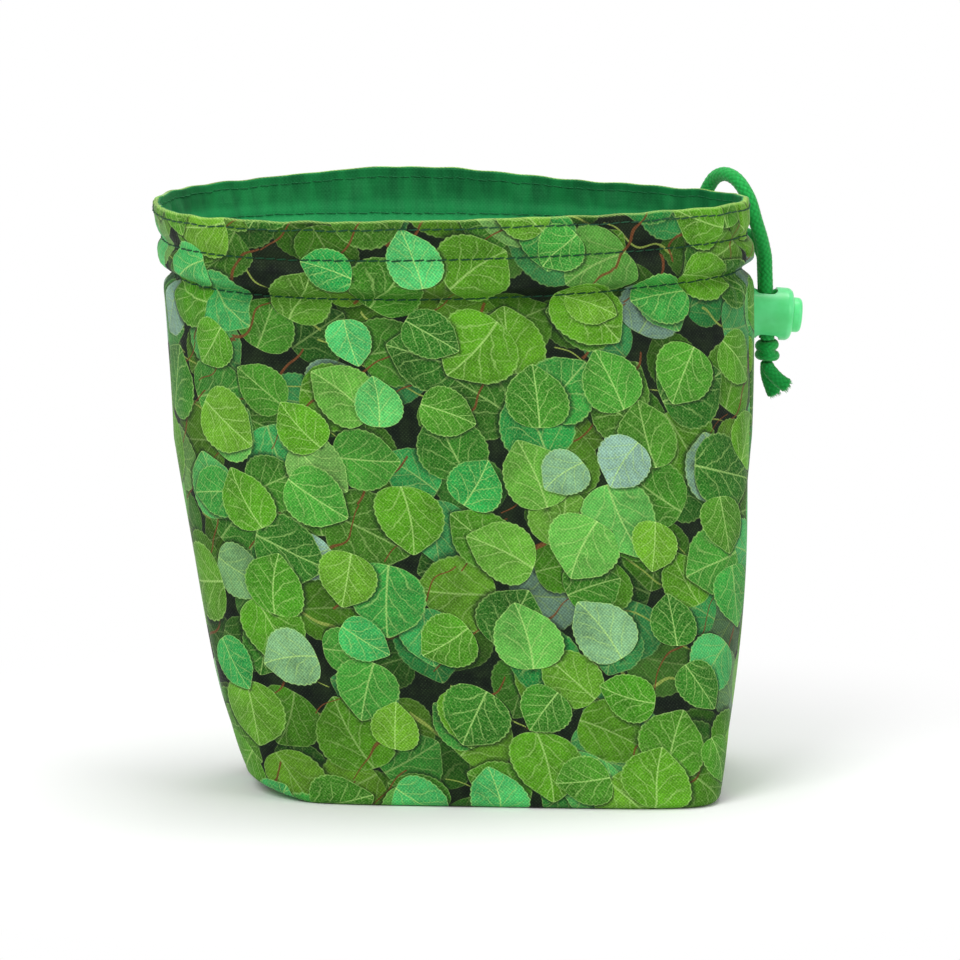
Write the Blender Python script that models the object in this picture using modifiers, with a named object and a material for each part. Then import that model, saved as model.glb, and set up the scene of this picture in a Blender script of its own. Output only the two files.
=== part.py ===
"""A lined drawstring pouch of printed cotton that stands open, with its cord, cord lock and knot.

Metres, +Z up. The front faces -Y. The origin lies under the middle of the pouch, on the surface
that it stands on. Every piece is made at its place, so the objects of the cloth sit at the origin,
and the cord lock's pieces have their origin on the axis that they slide along.
"""

import math

import bmesh
import bpy
import numpy as np
from mathutils import Matrix, Vector

# Outer form of the pouch
HEIGHT = 0.160
MOUTH_WIDTH = 0.1614
MOUTH_DEPTH = 0.092
BODY_WIDTH = 0.1577
BODY_DEPTH = 0.0885
BASE_WIDTH = 0.1258
BASE_DEPTH = 0.0800
FULL_WIDTH_HEIGHT = 0.095
SWELL_POWER = 0.7
BASE_SHIFT = 0.0080
BODY_SHIFT = 0.0035
BASE_EDGE_RADIUS = 0.0025
RIM_BACK_RISE = 0.0014
RIM_WAVE = 0.0010
ROW_END_RISE = 0.0020
ROW_RISE_REACH = 0.009
# The middle of the rim's back stands higher than its two ends
RIM_HUMP = 0.0032
RIM_HUMP_PLACE = -0.009
RIM_HUMP_REACH = 0.036
RIM_END_DROP = 0.0017
# The left end of the base curls up off the ground
CURL_RISE = 0.0037
CURL_REACH = 0.0153
CURL_FADE = 0.030

# Shape of the sections: 2 is an ellipse, and a higher number is a squarer loop
MOUTH_SQUARENESS = 2.25
BODY_SQUARENESS = 2.4
BASE_SQUARENESS = 6.0
# How much squarer the base is at its right end than at its middle
BASE_END_SQUARENESS = 2.0
# How much deeper a section is at its left end than at its middle
MOUTH_LEAN = 0.30
BASE_LEAN = -0.22

# Cloth
PRINT_CLOTH = 0.0009
LINING_CLOTH = 0.0007
GAP = 0.0003
SEAM_TURN = 0.012
SEAM_HALF = GAP / 2

# The band with the cord channel, as drops from the rim
EDGE_ROW_DROP = 0.0022
UPPER_ROW_DROP = 0.0100
CHANNEL_HEIGHT = 0.0110
LOWER_ROW_PINCH = 0.0022
UPPER_ROW_PINCH = 0.0010
PINCH_REACH = 0.0024
CHANNEL_SWELL = 0.0006
CHANNEL_FLAT = 0.0015
CHANNEL_SLACK = 0.0006
THREAD = 0.0005

# Drawcord and the stitched eyelets in the back, as distances along the cloth from its right end
CORD = 0.0040
EYELET_A_ARC = 0.038
EYELET_B_ARC = 0.015
EYELET_LENGTH = 0.0106
EYELET_HEIGHT = 0.0058
EYELET_STITCH = 0.0011
CORD_TURN_LENGTH = 0.0072
CORD_LEAD = 0.0008
CORD_STEP = 0.0050

# Cord lock, with sizes along its own axis counted from the cord hole's middle
LOCK_DIAMETER = 0.0145
LOCK_BORE = 0.0118
LOCK_FLOOR = 0.0014
LOCK_LIP = 0.0008
LOCK_LIP_BORE = 0.0102
LOCK_EDGE_RADIUS = 0.0022
PLUNGER_TRAVEL = 0.0020
PLUNGER_WEB = 0.0008
PLUNGER_STAND_OUT = 0.0026
PLUNGER_EDGE_RADIUS = 0.0011
SPRING_LENGTH = 0.0052
SPRING_WIRE = 0.0005
SPRING_DIAMETER = 0.0062
SPRING_TURNS = 4
LOCK_TILT = math.radians(5)
CORD_LEAN = math.radians(-2)

# The lock hangs here, as a place from the middle between the two eyelets
LOCK_HANG = (0.0195, 0.0029, -0.0209)
# Places on the strands' straight run, counted up from the cord hole's middle
STRAIGHT_RUN = (0.0148, 0.0138, 0.0080, 0.0, -LOCK_DIAMETER / 2)

# The knot under the lock and the cut ends below it
KNOT_WIDTH = 0.0069
KNOT_DEPTH = 0.0094
KNOT_HEIGHT = 0.0058
KNOT_ROUNDING = 0.0021

# Fineness of the meshes
COLUMNS = 22
BODY_ROWS = 8
BASE_ROWS = 3
EDGE_STEPS = 3
LOOP_SAMPLES = 720
ROUND_SEGMENTS = 28
SPRING_POINTS_PER_TURN = 10

PRINT_GREENS = (
    (0.102, 0.305, 0.021),
    (0.045, 0.251, 0.026),
    (0.045, 0.319, 0.115),
    (0.156, 0.578, 0.194),
    (0.302, 0.429, 0.361),
)
PRINT_GROUND = (0.013, 0.028, 0.017)
LINING_GREEN = (0.010, 0.262, 0.070)
CORD_GREEN = (0.007, 0.305, 0.045)
LOCK_GREEN = (0.102, 0.578, 0.194)
THREAD_GREEN = (0.007, 0.102, 0.045)
SPRING_STEEL = (0.55, 0.56, 0.58)


def between(height, base, body, mouth):
    """A size at a height: it swells quickly from base to body, then runs straight to the mouth."""
    low = np.clip(height / FULL_WIDTH_HEIGHT, 0, 1) ** SWELL_POWER
    high = np.clip((height - FULL_WIDTH_HEIGHT) / (HEIGHT - FULL_WIDTH_HEIGHT), 0, 1)
    return base + (body - base) * low + (mouth - body) * high


def squareness(height, angle):
    """The exponent of the loop at a height and an angle."""
    low = np.sqrt(np.clip(height / FULL_WIDTH_HEIGHT, 0, 1))
    high = np.clip((height - FULL_WIDTH_HEIGHT) / (HEIGHT - FULL_WIDTH_HEIGHT), 0, 1)
    square = BASE_SQUARENESS + (BODY_SQUARENESS - BASE_SQUARENESS) * low
    end = BASE_END_SQUARENESS * (1 - low) * np.cos(angle)
    return square + (MOUTH_SQUARENESS - BODY_SQUARENESS) * high + end


def sideways(height):
    """How far a loop's middle lies to the right of the mouth's middle."""
    low = np.clip(height / FULL_WIDTH_HEIGHT, 0, 1) ** SWELL_POWER
    high = np.clip((height - FULL_WIDTH_HEIGHT) / (HEIGHT - FULL_WIDTH_HEIGHT), 0, 1)
    return BASE_SHIFT + (BODY_SHIFT - BASE_SHIFT) * low - BODY_SHIFT * high**2


def dense_loop(height):
    """Closely spaced points of the smooth loop at one height, from its right end, by the back."""
    angle = np.linspace(0, 2 * math.pi, LOOP_SAMPLES + 1)
    power = 2 / squareness(height, angle)
    across = np.sign(np.cos(angle)) * np.abs(np.cos(angle)) ** power
    along = np.sign(np.sin(angle)) * np.abs(np.sin(angle)) ** power
    lean = BASE_LEAN + (MOUTH_LEAN - BASE_LEAN) * height / HEIGHT
    half_width = between(height, BASE_WIDTH, BODY_WIDTH, MOUTH_WIDTH) / 2
    half_depth = between(height, BASE_DEPTH, BODY_DEPTH, MOUTH_DEPTH) / 2
    x = sideways(height) + half_width * across
    y = half_depth * (1 - lean * across) * along
    return np.stack([x, y], axis=1)


def loop_length(loop):
    """The distance round a loop up to each of its points."""
    steps = np.linalg.norm(np.diff(loop, axis=0), axis=1)
    return np.concatenate([[0], np.cumsum(steps)])


def loop_at(height, shares):
    """The points of the loop at one height, at these shares of the way round it."""
    loop = dense_loop(height)
    length = loop_length(loop)
    turn = -SEAM_TURN * height / HEIGHT
    place = np.mod(np.asarray(shares) * length[-1] + turn, length[-1])
    return np.stack([np.interp(place, length, loop[:, k]) for k in (0, 1)], axis=1)


def mouth_length():
    """The distance round the loop at the middle of the cord channel."""
    return loop_length(dense_loop(channel_middle()))[-1]


def lower_row():
    return HEIGHT - UPPER_ROW_DROP - CHANNEL_HEIGHT


def upper_row():
    return HEIGHT - UPPER_ROW_DROP


def edge_row():
    return HEIGHT - EDGE_ROW_DROP


def channel_middle():
    return (lower_row() + upper_row()) / 2


def channel_wave(height):
    """1 over the cord at the channel's middle, 0 at its two rows of stitches and beyond them."""
    off = (np.abs(height - channel_middle()) - CHANNEL_FLAT) / (CHANNEL_HEIGHT / 2 - CHANNEL_FLAT)
    return 0.5 + 0.5 * np.cos(math.pi * np.clip(off, 0, 1))


def relief(height):
    """How far the printed cloth stands out from the smooth form: in at the rows, out between."""
    low = LOWER_ROW_PINCH * np.exp(-(((height - lower_row()) / PINCH_REACH) ** 2))
    high = UPPER_ROW_PINCH * np.exp(-(((height - upper_row()) / PINCH_REACH) ** 2))
    return CHANNEL_SWELL * channel_wave(height) - low - high


def cord_room(height):
    """How far the lining stands off the printed cloth for the cord, with a gap on both sides."""
    return (CORD + GAP + CHANNEL_SLACK) * channel_wave(height)


def wall_heights():
    """The heights of the rows of points up the wall, close together in the band."""
    share = np.linspace(0, 1, BODY_ROWS + 1)[1:-1]
    start, end = BASE_EDGE_RADIUS, lower_row() - 2 * PINCH_REACH
    body = start + (end - start) * share**1.2
    low, high, middle = lower_row(), upper_row(), channel_middle()
    quarter = CHANNEL_HEIGHT / 4
    cord = [low + quarter, middle - CHANNEL_FLAT, middle + CHANNEL_FLAT, high - quarter]
    band = [end, low - PINCH_REACH / 2, low, *cord, high]
    top = [high + PINCH_REACH, edge_row(), HEIGHT]
    return np.concatenate([body, band, top])


def column_shares():
    """Shares of the way round for the columns of points, closer at the two ends of the loop."""
    t = np.arange(2 * COLUMNS) / COLUMNS
    return (t - 0.45 * np.sin(2 * math.pi * t) / (2 * math.pi)) / 2


def raised(points, height):
    """A ring's heights: the rim's back and middles rise, and the lower row rises at both ends."""
    angle = np.arctan2(points[:, 1] / MOUTH_DEPTH, points[:, 0] / MOUTH_WIDTH)
    back = RIM_BACK_RISE * (height / HEIGHT) ** 3 * np.sin(angle)
    top = np.clip((height - upper_row()) / (HEIGHT - upper_row()), 0, 1)
    middles = RIM_WAVE * top * np.sin(angle) ** 2
    hump = RIM_HUMP * np.exp(-(((points[:, 0] - RIM_HUMP_PLACE) / RIM_HUMP_REACH) ** 2))
    rear = (hump - RIM_END_DROP) * top * np.clip(np.sin(angle), 0, 1)
    near_row = math.exp(-(((height - lower_row()) / ROW_RISE_REACH) ** 2))
    return height + back + middles + rear + ROW_END_RISE * near_row * np.cos(angle) ** 2


def curled(points):
    """How far points rise with the base's left end, less and less up the wall."""
    start = BASE_SHIFT - BASE_WIDTH / 2 + CURL_REACH
    share = np.clip((start - points[..., 0]) / CURL_REACH, 0, 1)
    return CURL_RISE * share**1.1 * np.clip(1 - points[..., 2] / CURL_FADE, 0, 1)


def ring(height, shares, inset=0.0, lift=None):
    """One ring of the smooth form: its points, moved in by inset, and their outward normals."""
    step = 1e-4
    points = loop_at(height, shares)
    along = loop_at(height, shares + step) - loop_at(height, shares - step)
    normal = np.stack([along[:, 1], -along[:, 0]], axis=1)
    normal /= np.linalg.norm(normal, axis=1)[:, None]
    points = points - inset * normal
    z = raised(points, height) if lift is None else np.full(len(points), lift)
    flat = np.zeros(len(points))
    return np.column_stack([points, z]), np.column_stack([normal, flat])


def form(shares, side, offset):
    """Rows of points from the base's middle seam to the rim, each moved off the form by offset.

    side is -1 for the front and 1 for the back. offset(height) is counted outward, and heights of 0
    or less stand for the base.
    """
    rows = []
    radius = BASE_EDGE_RADIUS
    inner = float(offset(0.0))
    foot, foot_normal = ring(radius, shares, inset=radius, lift=0.0)
    middle = foot[:, 0].mean()
    for share in np.arange(BASE_ROWS) / BASE_ROWS:
        row = foot.copy()
        row[:, 0] = middle + (foot[:, 0] - middle) * (0.8 + 0.2 * share)
        row[:, 1] = side * SEAM_HALF + (foot[:, 1] - side * SEAM_HALF) * share
        row[:, 2] = -inner
        rows.append(row)
    for angle in np.arange(EDGE_STEPS) / EDGE_STEPS * math.pi / 2:
        row = foot + foot_normal * (radius + inner) * math.sin(angle)
        row[:, 2] = radius - (radius + inner) * math.cos(angle)
        rows.append(row)
    for height in np.concatenate([[radius], wall_heights()]):
        points, normal = ring(height, shares)
        rows.append(points + normal * float(offset(height)))
    rows = np.array(rows)
    rows[..., 2] += curled(rows)
    return rows


def panel_shares(side):
    """The columns of one panel, whose two seams leave half a gap each to the other panel."""
    shares = column_shares()
    half = SEAM_HALF / mouth_length()
    if side > 0:
        return np.concatenate([[half], shares[1:COLUMNS], [0.5 - half]])
    return np.concatenate([[0.5 + half], shares[COLUMNS + 1 :], [1 - half]])


def centre_shift():
    """How far the loops' own middle lies from the middle of the pouch's box, along X."""
    shares = column_shares()
    heights = np.concatenate([[BASE_EDGE_RADIUS], wall_heights()])
    x = np.array([(ring(h, shares)[0] + ring(h, shares)[1] * relief(h))[:, 0] for h in heights])
    return (x.max() + x.min()) / 2


def centred(points):
    """Points moved along X so that the pouch's box is centred on the origin."""
    moved = np.array(points, float)
    moved[..., 0] -= centre_shift()
    return moved


def material(name, colour, roughness, metallic=0.0):
    """A plain Principled material."""
    made = bpy.data.materials.new(name)
    made.use_nodes = True
    shader = made.node_tree.nodes["Principled BSDF"]
    shader.inputs["Base Color"].default_value = (*colour, 1.0)
    shader.inputs["Roughness"].default_value = roughness
    shader.inputs["Metallic"].default_value = metallic
    made.diffuse_color = (*colour, 1.0)
    return made


def print_material():
    """Fields of leaf greens, one to a cell, parted by the dark ground of the print."""
    made = material("printed_cotton", PRINT_GREENS[0], 0.85)
    tree = made.node_tree
    cells = tree.nodes.new("ShaderNodeTexVoronoi")
    cells.inputs["Scale"].default_value = 62.0
    edges = tree.nodes.new("ShaderNodeTexVoronoi")
    edges.feature = "DISTANCE_TO_EDGE"
    edges.inputs["Scale"].default_value = 62.0
    place = tree.nodes.new("ShaderNodeTexCoord")
    greens = tree.nodes.new("ShaderNodeValToRGB")
    greens.color_ramp.interpolation = "CONSTANT"
    while len(greens.color_ramp.elements) < len(PRINT_GREENS):
        greens.color_ramp.elements.new(0.5)
    for number, colour in enumerate(PRINT_GREENS):
        greens.color_ramp.elements[number].position = number / len(PRINT_GREENS)
        greens.color_ramp.elements[number].color = (*colour, 1.0)
    inside = tree.nodes.new("ShaderNodeMath")
    inside.operation = "GREATER_THAN"
    inside.inputs[1].default_value = 0.07
    mix = tree.nodes.new("ShaderNodeMix")
    mix.data_type = "RGBA"
    mix.inputs["A"].default_value = (*PRINT_GROUND, 1.0)
    tree.links.new(place.outputs["Object"], cells.inputs["Vector"])
    tree.links.new(place.outputs["Object"], edges.inputs["Vector"])
    tree.links.new(cells.outputs["Color"], greens.inputs["Fac"])
    tree.links.new(edges.outputs["Distance"], inside.inputs[0])
    tree.links.new(inside.outputs["Value"], mix.inputs["Factor"])
    tree.links.new(greens.outputs["Color"], mix.inputs["B"])
    tree.links.new(mix.outputs["Result"], tree.nodes["Principled BSDF"].inputs["Base Color"])
    return made


def add_object(name, data, collection, finish=None):
    """An object in a collection, with one material."""
    thing = bpy.data.objects.new(name, data)
    collection.objects.link(thing)
    if finish is not None:
        data.materials.append(finish)
    return thing


def grid_mesh(name, rows):
    """An open mesh over a grid of points, with a face between each four neighbours."""
    count, width = rows.shape[:2]
    corner = (np.arange(count - 1)[:, None] * width + np.arange(width - 1)).ravel()
    faces = np.stack([corner, corner + 1, corner + width + 1, corner + width], axis=1)
    mesh = bpy.data.meshes.new(name)
    mesh.from_pydata(rows.reshape(-1, 3).tolist(), [], faces.tolist())
    mesh.shade_smooth()
    return mesh


def cloth_panel(name, side, offset, thickness, collection, finish):
    """A panel of cloth: the form's open surface, with its thickness added on the inner side."""
    rows = centred(form(panel_shares(side), side, offset))
    panel = add_object(name, grid_mesh(name, rows), collection, finish)
    wall = panel.modifiers.new("cloth_thickness", "SOLIDIFY")
    wall.thickness = thickness
    wall.offset = -1.0
    wall.use_even_offset = False
    return panel


def print_offset(height):
    """The printed cloth's outer face, off the smooth form."""
    return relief(height)


def lining_offset(height):
    """The lining's outer face, off the smooth form."""
    return relief(height) - PRINT_CLOTH - GAP - cord_room(height)


def face_frame(arc):
    """Place, direction along the cloth towards the back, and outward normal on the channel's face."""
    height = channel_middle()
    share = (arc + SEAM_TURN * height / HEIGHT) / mouth_length()
    here, normal = ring(height, np.array([share]))
    on_face = centred(here + normal * float(relief(height)))[0]
    out = normal[0]
    return Vector(on_face), Vector((-out[1], out[0], 0.0)), Vector(out)


def cord_depth():
    """The depth of the cord's middle below the printed cloth's outer face, in the channel."""
    return PRINT_CLOTH + GAP + CHANNEL_SLACK / 2 + CORD / 2


def tube(name, points, diameter, collection, finish, closed=False, fineness=2):
    """A round tube along points, as a curve with filled caps."""
    curve = bpy.data.curves.new(name, "CURVE")
    curve.dimensions = "3D"
    curve.resolution_u = 1
    curve.bevel_depth = diameter / 2
    curve.bevel_resolution = fineness
    curve.use_fill_caps = not closed
    spline = curve.splines.new("POLY")
    spline.points.add(len(points) - 1)
    for target, point in zip(spline.points, points):
        target.co = (*point, 1.0)
    spline.use_cyclic_u = closed
    return add_object(name, curve, collection, finish)


def smooth_line(route, spacing):
    """Evenly spaced points on a smooth curve through the route's points.

    Each stretch is a cubic whose slope at a point is that of the circle through the point and its
    two neighbours, so a straight run of points stays straight.
    """
    points = np.array([tuple(p) for p in route], float)
    knots = np.concatenate([[0], np.cumsum(np.linalg.norm(np.diff(points, axis=0), axis=1))])
    gaps = np.diff(knots)[:, None]
    chords = np.diff(points, axis=0) / gaps
    slopes = np.empty_like(points)
    inner = (chords[:-1] * gaps[1:] + chords[1:] * gaps[:-1]) / (gaps[:-1] + gaps[1:])
    slopes[1:-1] = inner
    slopes[0], slopes[-1] = 1.5 * chords[0] - 0.5 * inner[0], 1.5 * chords[-1] - 0.5 * inner[-1]
    fine = []
    for i, gap in enumerate(gaps[:, 0]):
        t = np.linspace(0, 1, 24, endpoint=False)[:, None]
        near = points[i] * (1 + 2 * t) + gap * slopes[i] * t
        far = points[i + 1] * (3 - 2 * t) - gap * slopes[i + 1] * (1 - t)
        fine.append(near * (1 - t) ** 2 + far * t**2)
    fine = np.concatenate(fine + [points[-1:]])
    length = np.concatenate([[0], np.cumsum(np.linalg.norm(np.diff(fine, axis=0), axis=1))])
    lead = CORD / 6
    at = np.linspace(lead, length[-1] - lead, math.ceil((length[-1] - 2 * lead) / spacing) + 1)
    at = np.concatenate([[0], at, length[-1:]])
    return np.stack([np.interp(at, length, fine[:, k]) for k in range(3)], axis=1)


def held_cord_end(arc, towards_back):
    """Points of the channel cord where it turns out through an eyelet, ending outside the cloth."""
    points = []
    sign = 1 if towards_back else -1
    rise = cord_depth() / CORD_TURN_LENGTH**2
    for run in np.linspace(-CORD_TURN_LENGTH, CORD_TURN_LENGTH * 0.2, 5):
        place, _, out = face_frame(arc + sign * (run + CORD_LEAD))
        points.append(place + out * (rise * (run + CORD_TURN_LENGTH) ** 2 - cord_depth()))
    return points


def channel_cord_line():
    """The held cord's line: out at eyelet B, round the front and the left end, out at eyelet A."""
    length = mouth_length()
    start, end = EYELET_B_ARC - CORD_TURN_LENGTH, EYELET_A_ARC + CORD_TURN_LENGTH
    arcs = np.linspace(start, end - length, 74)[1:-1]
    middle = []
    for arc in arcs:
        place, _, out = face_frame(arc)
        middle.append(place - out * cord_depth())
    first = held_cord_end(EYELET_B_ARC, True)[::-1]
    last = held_cord_end(EYELET_A_ARC, False)
    return first + middle + last


def eyelet_middle():
    """The point of the cloth's face midway between the two eyelets."""
    return (face_frame(EYELET_A_ARC)[0] + face_frame(EYELET_B_ARC)[0]) / 2


def lock_centre():
    """The middle of the lock's cord hole."""
    return eyelet_middle() + Vector(LOCK_HANG)


def slide_axis():
    """The way the lock slides up its two strands."""
    return Vector((math.sin(CORD_LEAN), 0.0, math.cos(CORD_LEAN)))


def lock_axis():
    """The barrel's axis, towards the plunger's head."""
    return Vector((math.cos(LOCK_TILT), 0.0, -math.sin(LOCK_TILT)))


def strand_offset():
    """Half the distance between the two strands in the lock."""
    return (CORD + GAP) / 2


def strand_run(side, heights):
    """Points of a strand's straight run through the lock, at heights above the hole's middle."""
    middle = lock_centre() + Vector((0, side * strand_offset(), 0))
    return [middle + slide_axis() * height for height in heights]


def strand_start(arc, towards_back):
    """The first two points of a free strand, a gap on from the held cord's end and in its line."""
    last = held_cord_end(arc, towards_back)
    way = (last[-1] - last[-2]).normalized()
    return [last[-1] + way * GAP, last[-1] + way * (GAP + CORD * 0.4)]


def strand_a_route():
    """Strand A's route: out of eyelet A, up over the rim in an arc and down into the lock."""
    start = strand_start(EYELET_A_ARC, False)
    hang = eyelet_middle()
    arch = (
        (-0.0015, 0.0096, 0.0011),
        (0.0028, 0.0135, 0.0091),
        (0.0042, 0.0125, 0.0128),
        (0.0058, 0.0101, 0.0157),
        (0.0082, 0.0061, 0.0172),
        (0.0108, 0.0021, 0.0163),
        (0.0139, -0.0013, 0.0118),
        (0.0161, -0.0018, 0.0049),
        (0.0182, -0.0001, -0.0019),
    )
    above = [hang + Vector(place) for place in arch]
    return [*start, *above, *strand_run(-1, STRAIGHT_RUN)]


def strand_b_route():
    """Strand B's route: out of eyelet B and over in one bend, down into the lock behind A."""
    start = strand_start(EYELET_B_ARC, True)
    hang = eyelet_middle()
    bend = (
        (0.0096, -0.0019, 0.0004),
        (0.0147, 0.0027, 0.0004),
        (0.0178, 0.0049, -0.0029),
    )
    above = [hang + Vector(place) for place in bend]
    return [*start, *above, *strand_run(1, STRAIGHT_RUN)]


def turned(name, outline, axis_point, direction, collection, finish, steps=ROUND_SEGMENTS):
    """A turned solid: an outline of (radius, distance along the axis) spun once with Screw."""
    mesh = bpy.data.meshes.new(name)
    points = [(radius, 0.0, along) for radius, along in outline]
    mesh.from_pydata(points, [(i, i + 1) for i in range(len(points) - 1)], [])
    solid = add_object(name, mesh, collection, finish)
    spin = solid.modifiers.new("turned", "SCREW")
    spin.angle = 2 * math.pi
    spin.steps = steps
    spin.render_steps = steps
    spin.use_merge_vertices = True
    spin.merge_threshold = 0.00001
    spin.use_smooth_shade = True
    solid.matrix_world = axis_frame(axis_point, direction)
    return solid


def axis_frame(place, direction):
    """The placement that stands an object's Z along a direction, with its Y along the world's Y."""
    z = direction.normalized()
    y = Vector((0, 1, 0))
    x = y.cross(z).normalized()
    turn = Matrix((x, z.cross(x), z)).transposed().to_4x4()
    return Matrix.Translation(place) @ turn


def rounded(corner, radius, start, end, steps=3):
    """Points on a quarter round about a corner's middle, from one angle to another in degrees."""
    angles = np.radians(np.linspace(start, end, steps + 1))
    return [(corner[0] + radius * math.cos(a), corner[1] + radius * math.sin(a)) for a in angles]


def hole_half():
    """Half the cord hole's length along the lock, for cords that lean in it."""
    lean = LOCK_TILT - CORD_LEAN
    return CORD / 2 / math.cos(lean) + LOCK_DIAMETER / 2 * math.tan(lean) + GAP


def hole_half_across():
    """Half the cord hole's width, for two strands side by side."""
    return CORD + GAP / 2 + GAP


def plunger_inner_end():
    return -hole_half() - PLUNGER_WEB


def plunger_shoulder():
    return hole_half() + PLUNGER_TRAVEL + PLUNGER_WEB


def barrel_floor():
    return plunger_inner_end() - SPRING_LENGTH - 2 * GAP


def barrel_end():
    return plunger_shoulder() + GAP + LOCK_LIP


def cord_slot(name, start, end, cutters):
    """A cutter for the cord hole: a rounded bar along the strands, from start to end on the axis."""
    mesh = bpy.data.meshes.new(name)
    shape = bmesh.new()
    bmesh.ops.create_cube(shape, size=1.0)
    size = (end - start, 2 * hole_half_across(), 2 * LOCK_DIAMETER)
    bmesh.ops.scale(shape, vec=size, verts=shape.verts)
    upright = [e for e in shape.edges if abs(e.verts[0].co.z - e.verts[1].co.z) > LOCK_DIAMETER]
    bmesh.ops.bevel(
        shape, geom=upright, offset=CORD * 0.45, segments=4, affect="EDGES", profile=0.5
    )
    shape.to_mesh(mesh)
    shape.free()
    bar = add_object(name, mesh, cutters)
    middle = lock_centre() + lock_axis() * (start + end) / 2
    bar.matrix_world = axis_frame(middle, slide_axis())
    hide_cutter(bar)
    return bar


def hide_cutter(thing):
    """Marks an object as a cutter."""
    thing.display_type = "WIRE"
    thing.hide_render = True


def cut(thing, cutter):
    """Cuts one object with another."""
    boolean = thing.modifiers.new("cut_" + cutter.name, "BOOLEAN")
    boolean.operation = "DIFFERENCE"
    boolean.solver = "EXACT"
    boolean.object = cutter


def lock_barrel(parts, cutters, finish):
    """The lock's barrel: a cup with a lipped mouth, and the cord hole across it."""
    outer, edge = LOCK_DIAMETER / 2, LOCK_EDGE_RADIUS
    back = barrel_floor() - LOCK_FLOOR
    end = barrel_end()
    outline = [
        (0.0, barrel_floor()),
        (LOCK_BORE / 2, barrel_floor()),
        (LOCK_BORE / 2, end - LOCK_LIP),
        (LOCK_LIP_BORE / 2, end - LOCK_LIP),
        (LOCK_LIP_BORE / 2, end),
        *rounded((outer - edge, end - edge), edge, 90, 0)[0:],
        *rounded((outer - edge, back + edge), edge, 0, -90),
        (0.0, back),
    ]
    barrel = turned("cord_lock_barrel", outline, lock_centre(), lock_axis(), parts, finish)
    cut(barrel, cord_slot("barrel_cord_hole", -hole_half(), hole_half(), cutters))
    return barrel


def lock_plunger(parts, cutters, finish):
    """The spring-loaded plunger, whose hole is longer by its travel so that the cords stay clear."""
    head, body = LOCK_LIP_BORE / 2 - GAP, LOCK_BORE / 2 - GAP
    end, edge = barrel_end() + PLUNGER_STAND_OUT, PLUNGER_EDGE_RADIUS
    outline = [
        (0.0, end),
        *rounded((head - edge, end - edge), edge, 90, 0),
        (head, plunger_shoulder()),
        (body, plunger_shoulder()),
        (body, plunger_inner_end()),
        (0.0, plunger_inner_end()),
    ]
    plunger = turned("cord_lock_plunger", outline, lock_centre(), lock_axis(), parts, finish)
    cut(plunger, cord_slot("plunger_cord_hole", -hole_half(), hole_half() + PLUNGER_TRAVEL, cutters))
    return plunger


def lock_spring(parts, finish):
    """The coil spring between the barrel's floor and the plunger."""
    frame = axis_frame(lock_centre(), lock_axis())
    start = barrel_floor() + GAP + SPRING_WIRE / 2
    end = plunger_inner_end() - GAP - SPRING_WIRE / 2
    count = SPRING_TURNS * SPRING_POINTS_PER_TURN
    radius = (SPRING_DIAMETER - SPRING_WIRE) / 2
    points = []
    for i in range(count + 1):
        turn = 2 * math.pi * i / SPRING_POINTS_PER_TURN
        along = start + (end - start) * i / count
        points.append(frame @ Vector((radius * math.cos(turn), radius * math.sin(turn), along)))
    return tube("cord_lock_spring", points, SPRING_WIRE, parts, finish)


def knot_middle():
    """The knot's middle, a gap under the lock."""
    return lock_centre() - slide_axis() * (LOCK_DIAMETER / 2 + GAP + KNOT_HEIGHT / 2)


def cord_knot(parts, finish):
    """The overhand knot that keeps the lock on, as one rounded lump."""
    mesh = bpy.data.meshes.new("cord_end_knot")
    shape = bmesh.new()
    bmesh.ops.create_cube(shape, size=1.0)
    bmesh.ops.scale(shape, vec=(KNOT_WIDTH, KNOT_DEPTH, KNOT_HEIGHT), verts=shape.verts)
    bmesh.ops.bevel(
        shape,
        geom=list(shape.edges),
        offset=KNOT_ROUNDING,
        segments=3,
        affect="EDGES",
        profile=0.5,
    )
    shape.to_mesh(mesh)
    shape.free()
    mesh.shade_smooth()
    knot = add_object("cord_end_knot", mesh, parts, finish)
    knot.matrix_world = axis_frame(knot_middle(), slide_axis())
    return knot


def tail_route(side):
    """A cut end's route: out of the knot's underside, then down and to the right."""
    under = knot_middle() - slide_axis() * (KNOT_HEIGHT / 2 + GAP)
    start = under + Vector((0, side * strand_offset(), 0))
    down = [start - slide_axis() * run for run in (0.0, 0.0006, 0.0012)]
    if side < 0:
        bends = ((0.0012, -0.0003, -0.0030), (0.0030, -0.0007, -0.0048), (0.0060, -0.0011, -0.0068))
    else:
        bends = ((0.0003, 0.0002, -0.0040), (0.0012, 0.0003, -0.0070), (0.0026, 0.0002, -0.0101))
    return [*down, *[start + Vector(bend) for bend in bends]]


def stitched_row(name, height, parts, finish):
    """One row of stitches round the pouch, as a thread that lies a gap off the printed cloth."""
    points, normal = ring(height, column_shares())
    off = float(relief(height)) + GAP + THREAD / 2
    line = centred(points + normal * off)
    return tube(name, [Vector(p) for p in line], THREAD, parts, finish, closed=True, fineness=1)


def eyelet_cutter(name, arc, cutters):
    """A round bar through the printed cloth at an eyelet."""
    place, along, out = face_frame(arc)
    bpy.ops.mesh.primitive_cylinder_add(vertices=ROUND_SEGMENTS, radius=0.5, depth=1.0)
    bar = bpy.context.object
    bar.name = name
    move_to(bar, cutters)
    size = (EYELET_LENGTH, EYELET_HEIGHT, 4 * PRINT_CLOTH + CHANNEL_SWELL)
    bar.data.transform(Matrix.Diagonal((*size, 1.0)))
    turn = Matrix((along, out.cross(along), out)).transposed().to_4x4()
    bar.matrix_world = Matrix.Translation(place) @ turn
    hide_cutter(bar)
    return bar


def move_to(thing, collection):
    """Puts an object in one collection only."""
    for old in list(thing.users_collection):
        old.objects.unlink(thing)
    collection.objects.link(thing)


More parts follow.
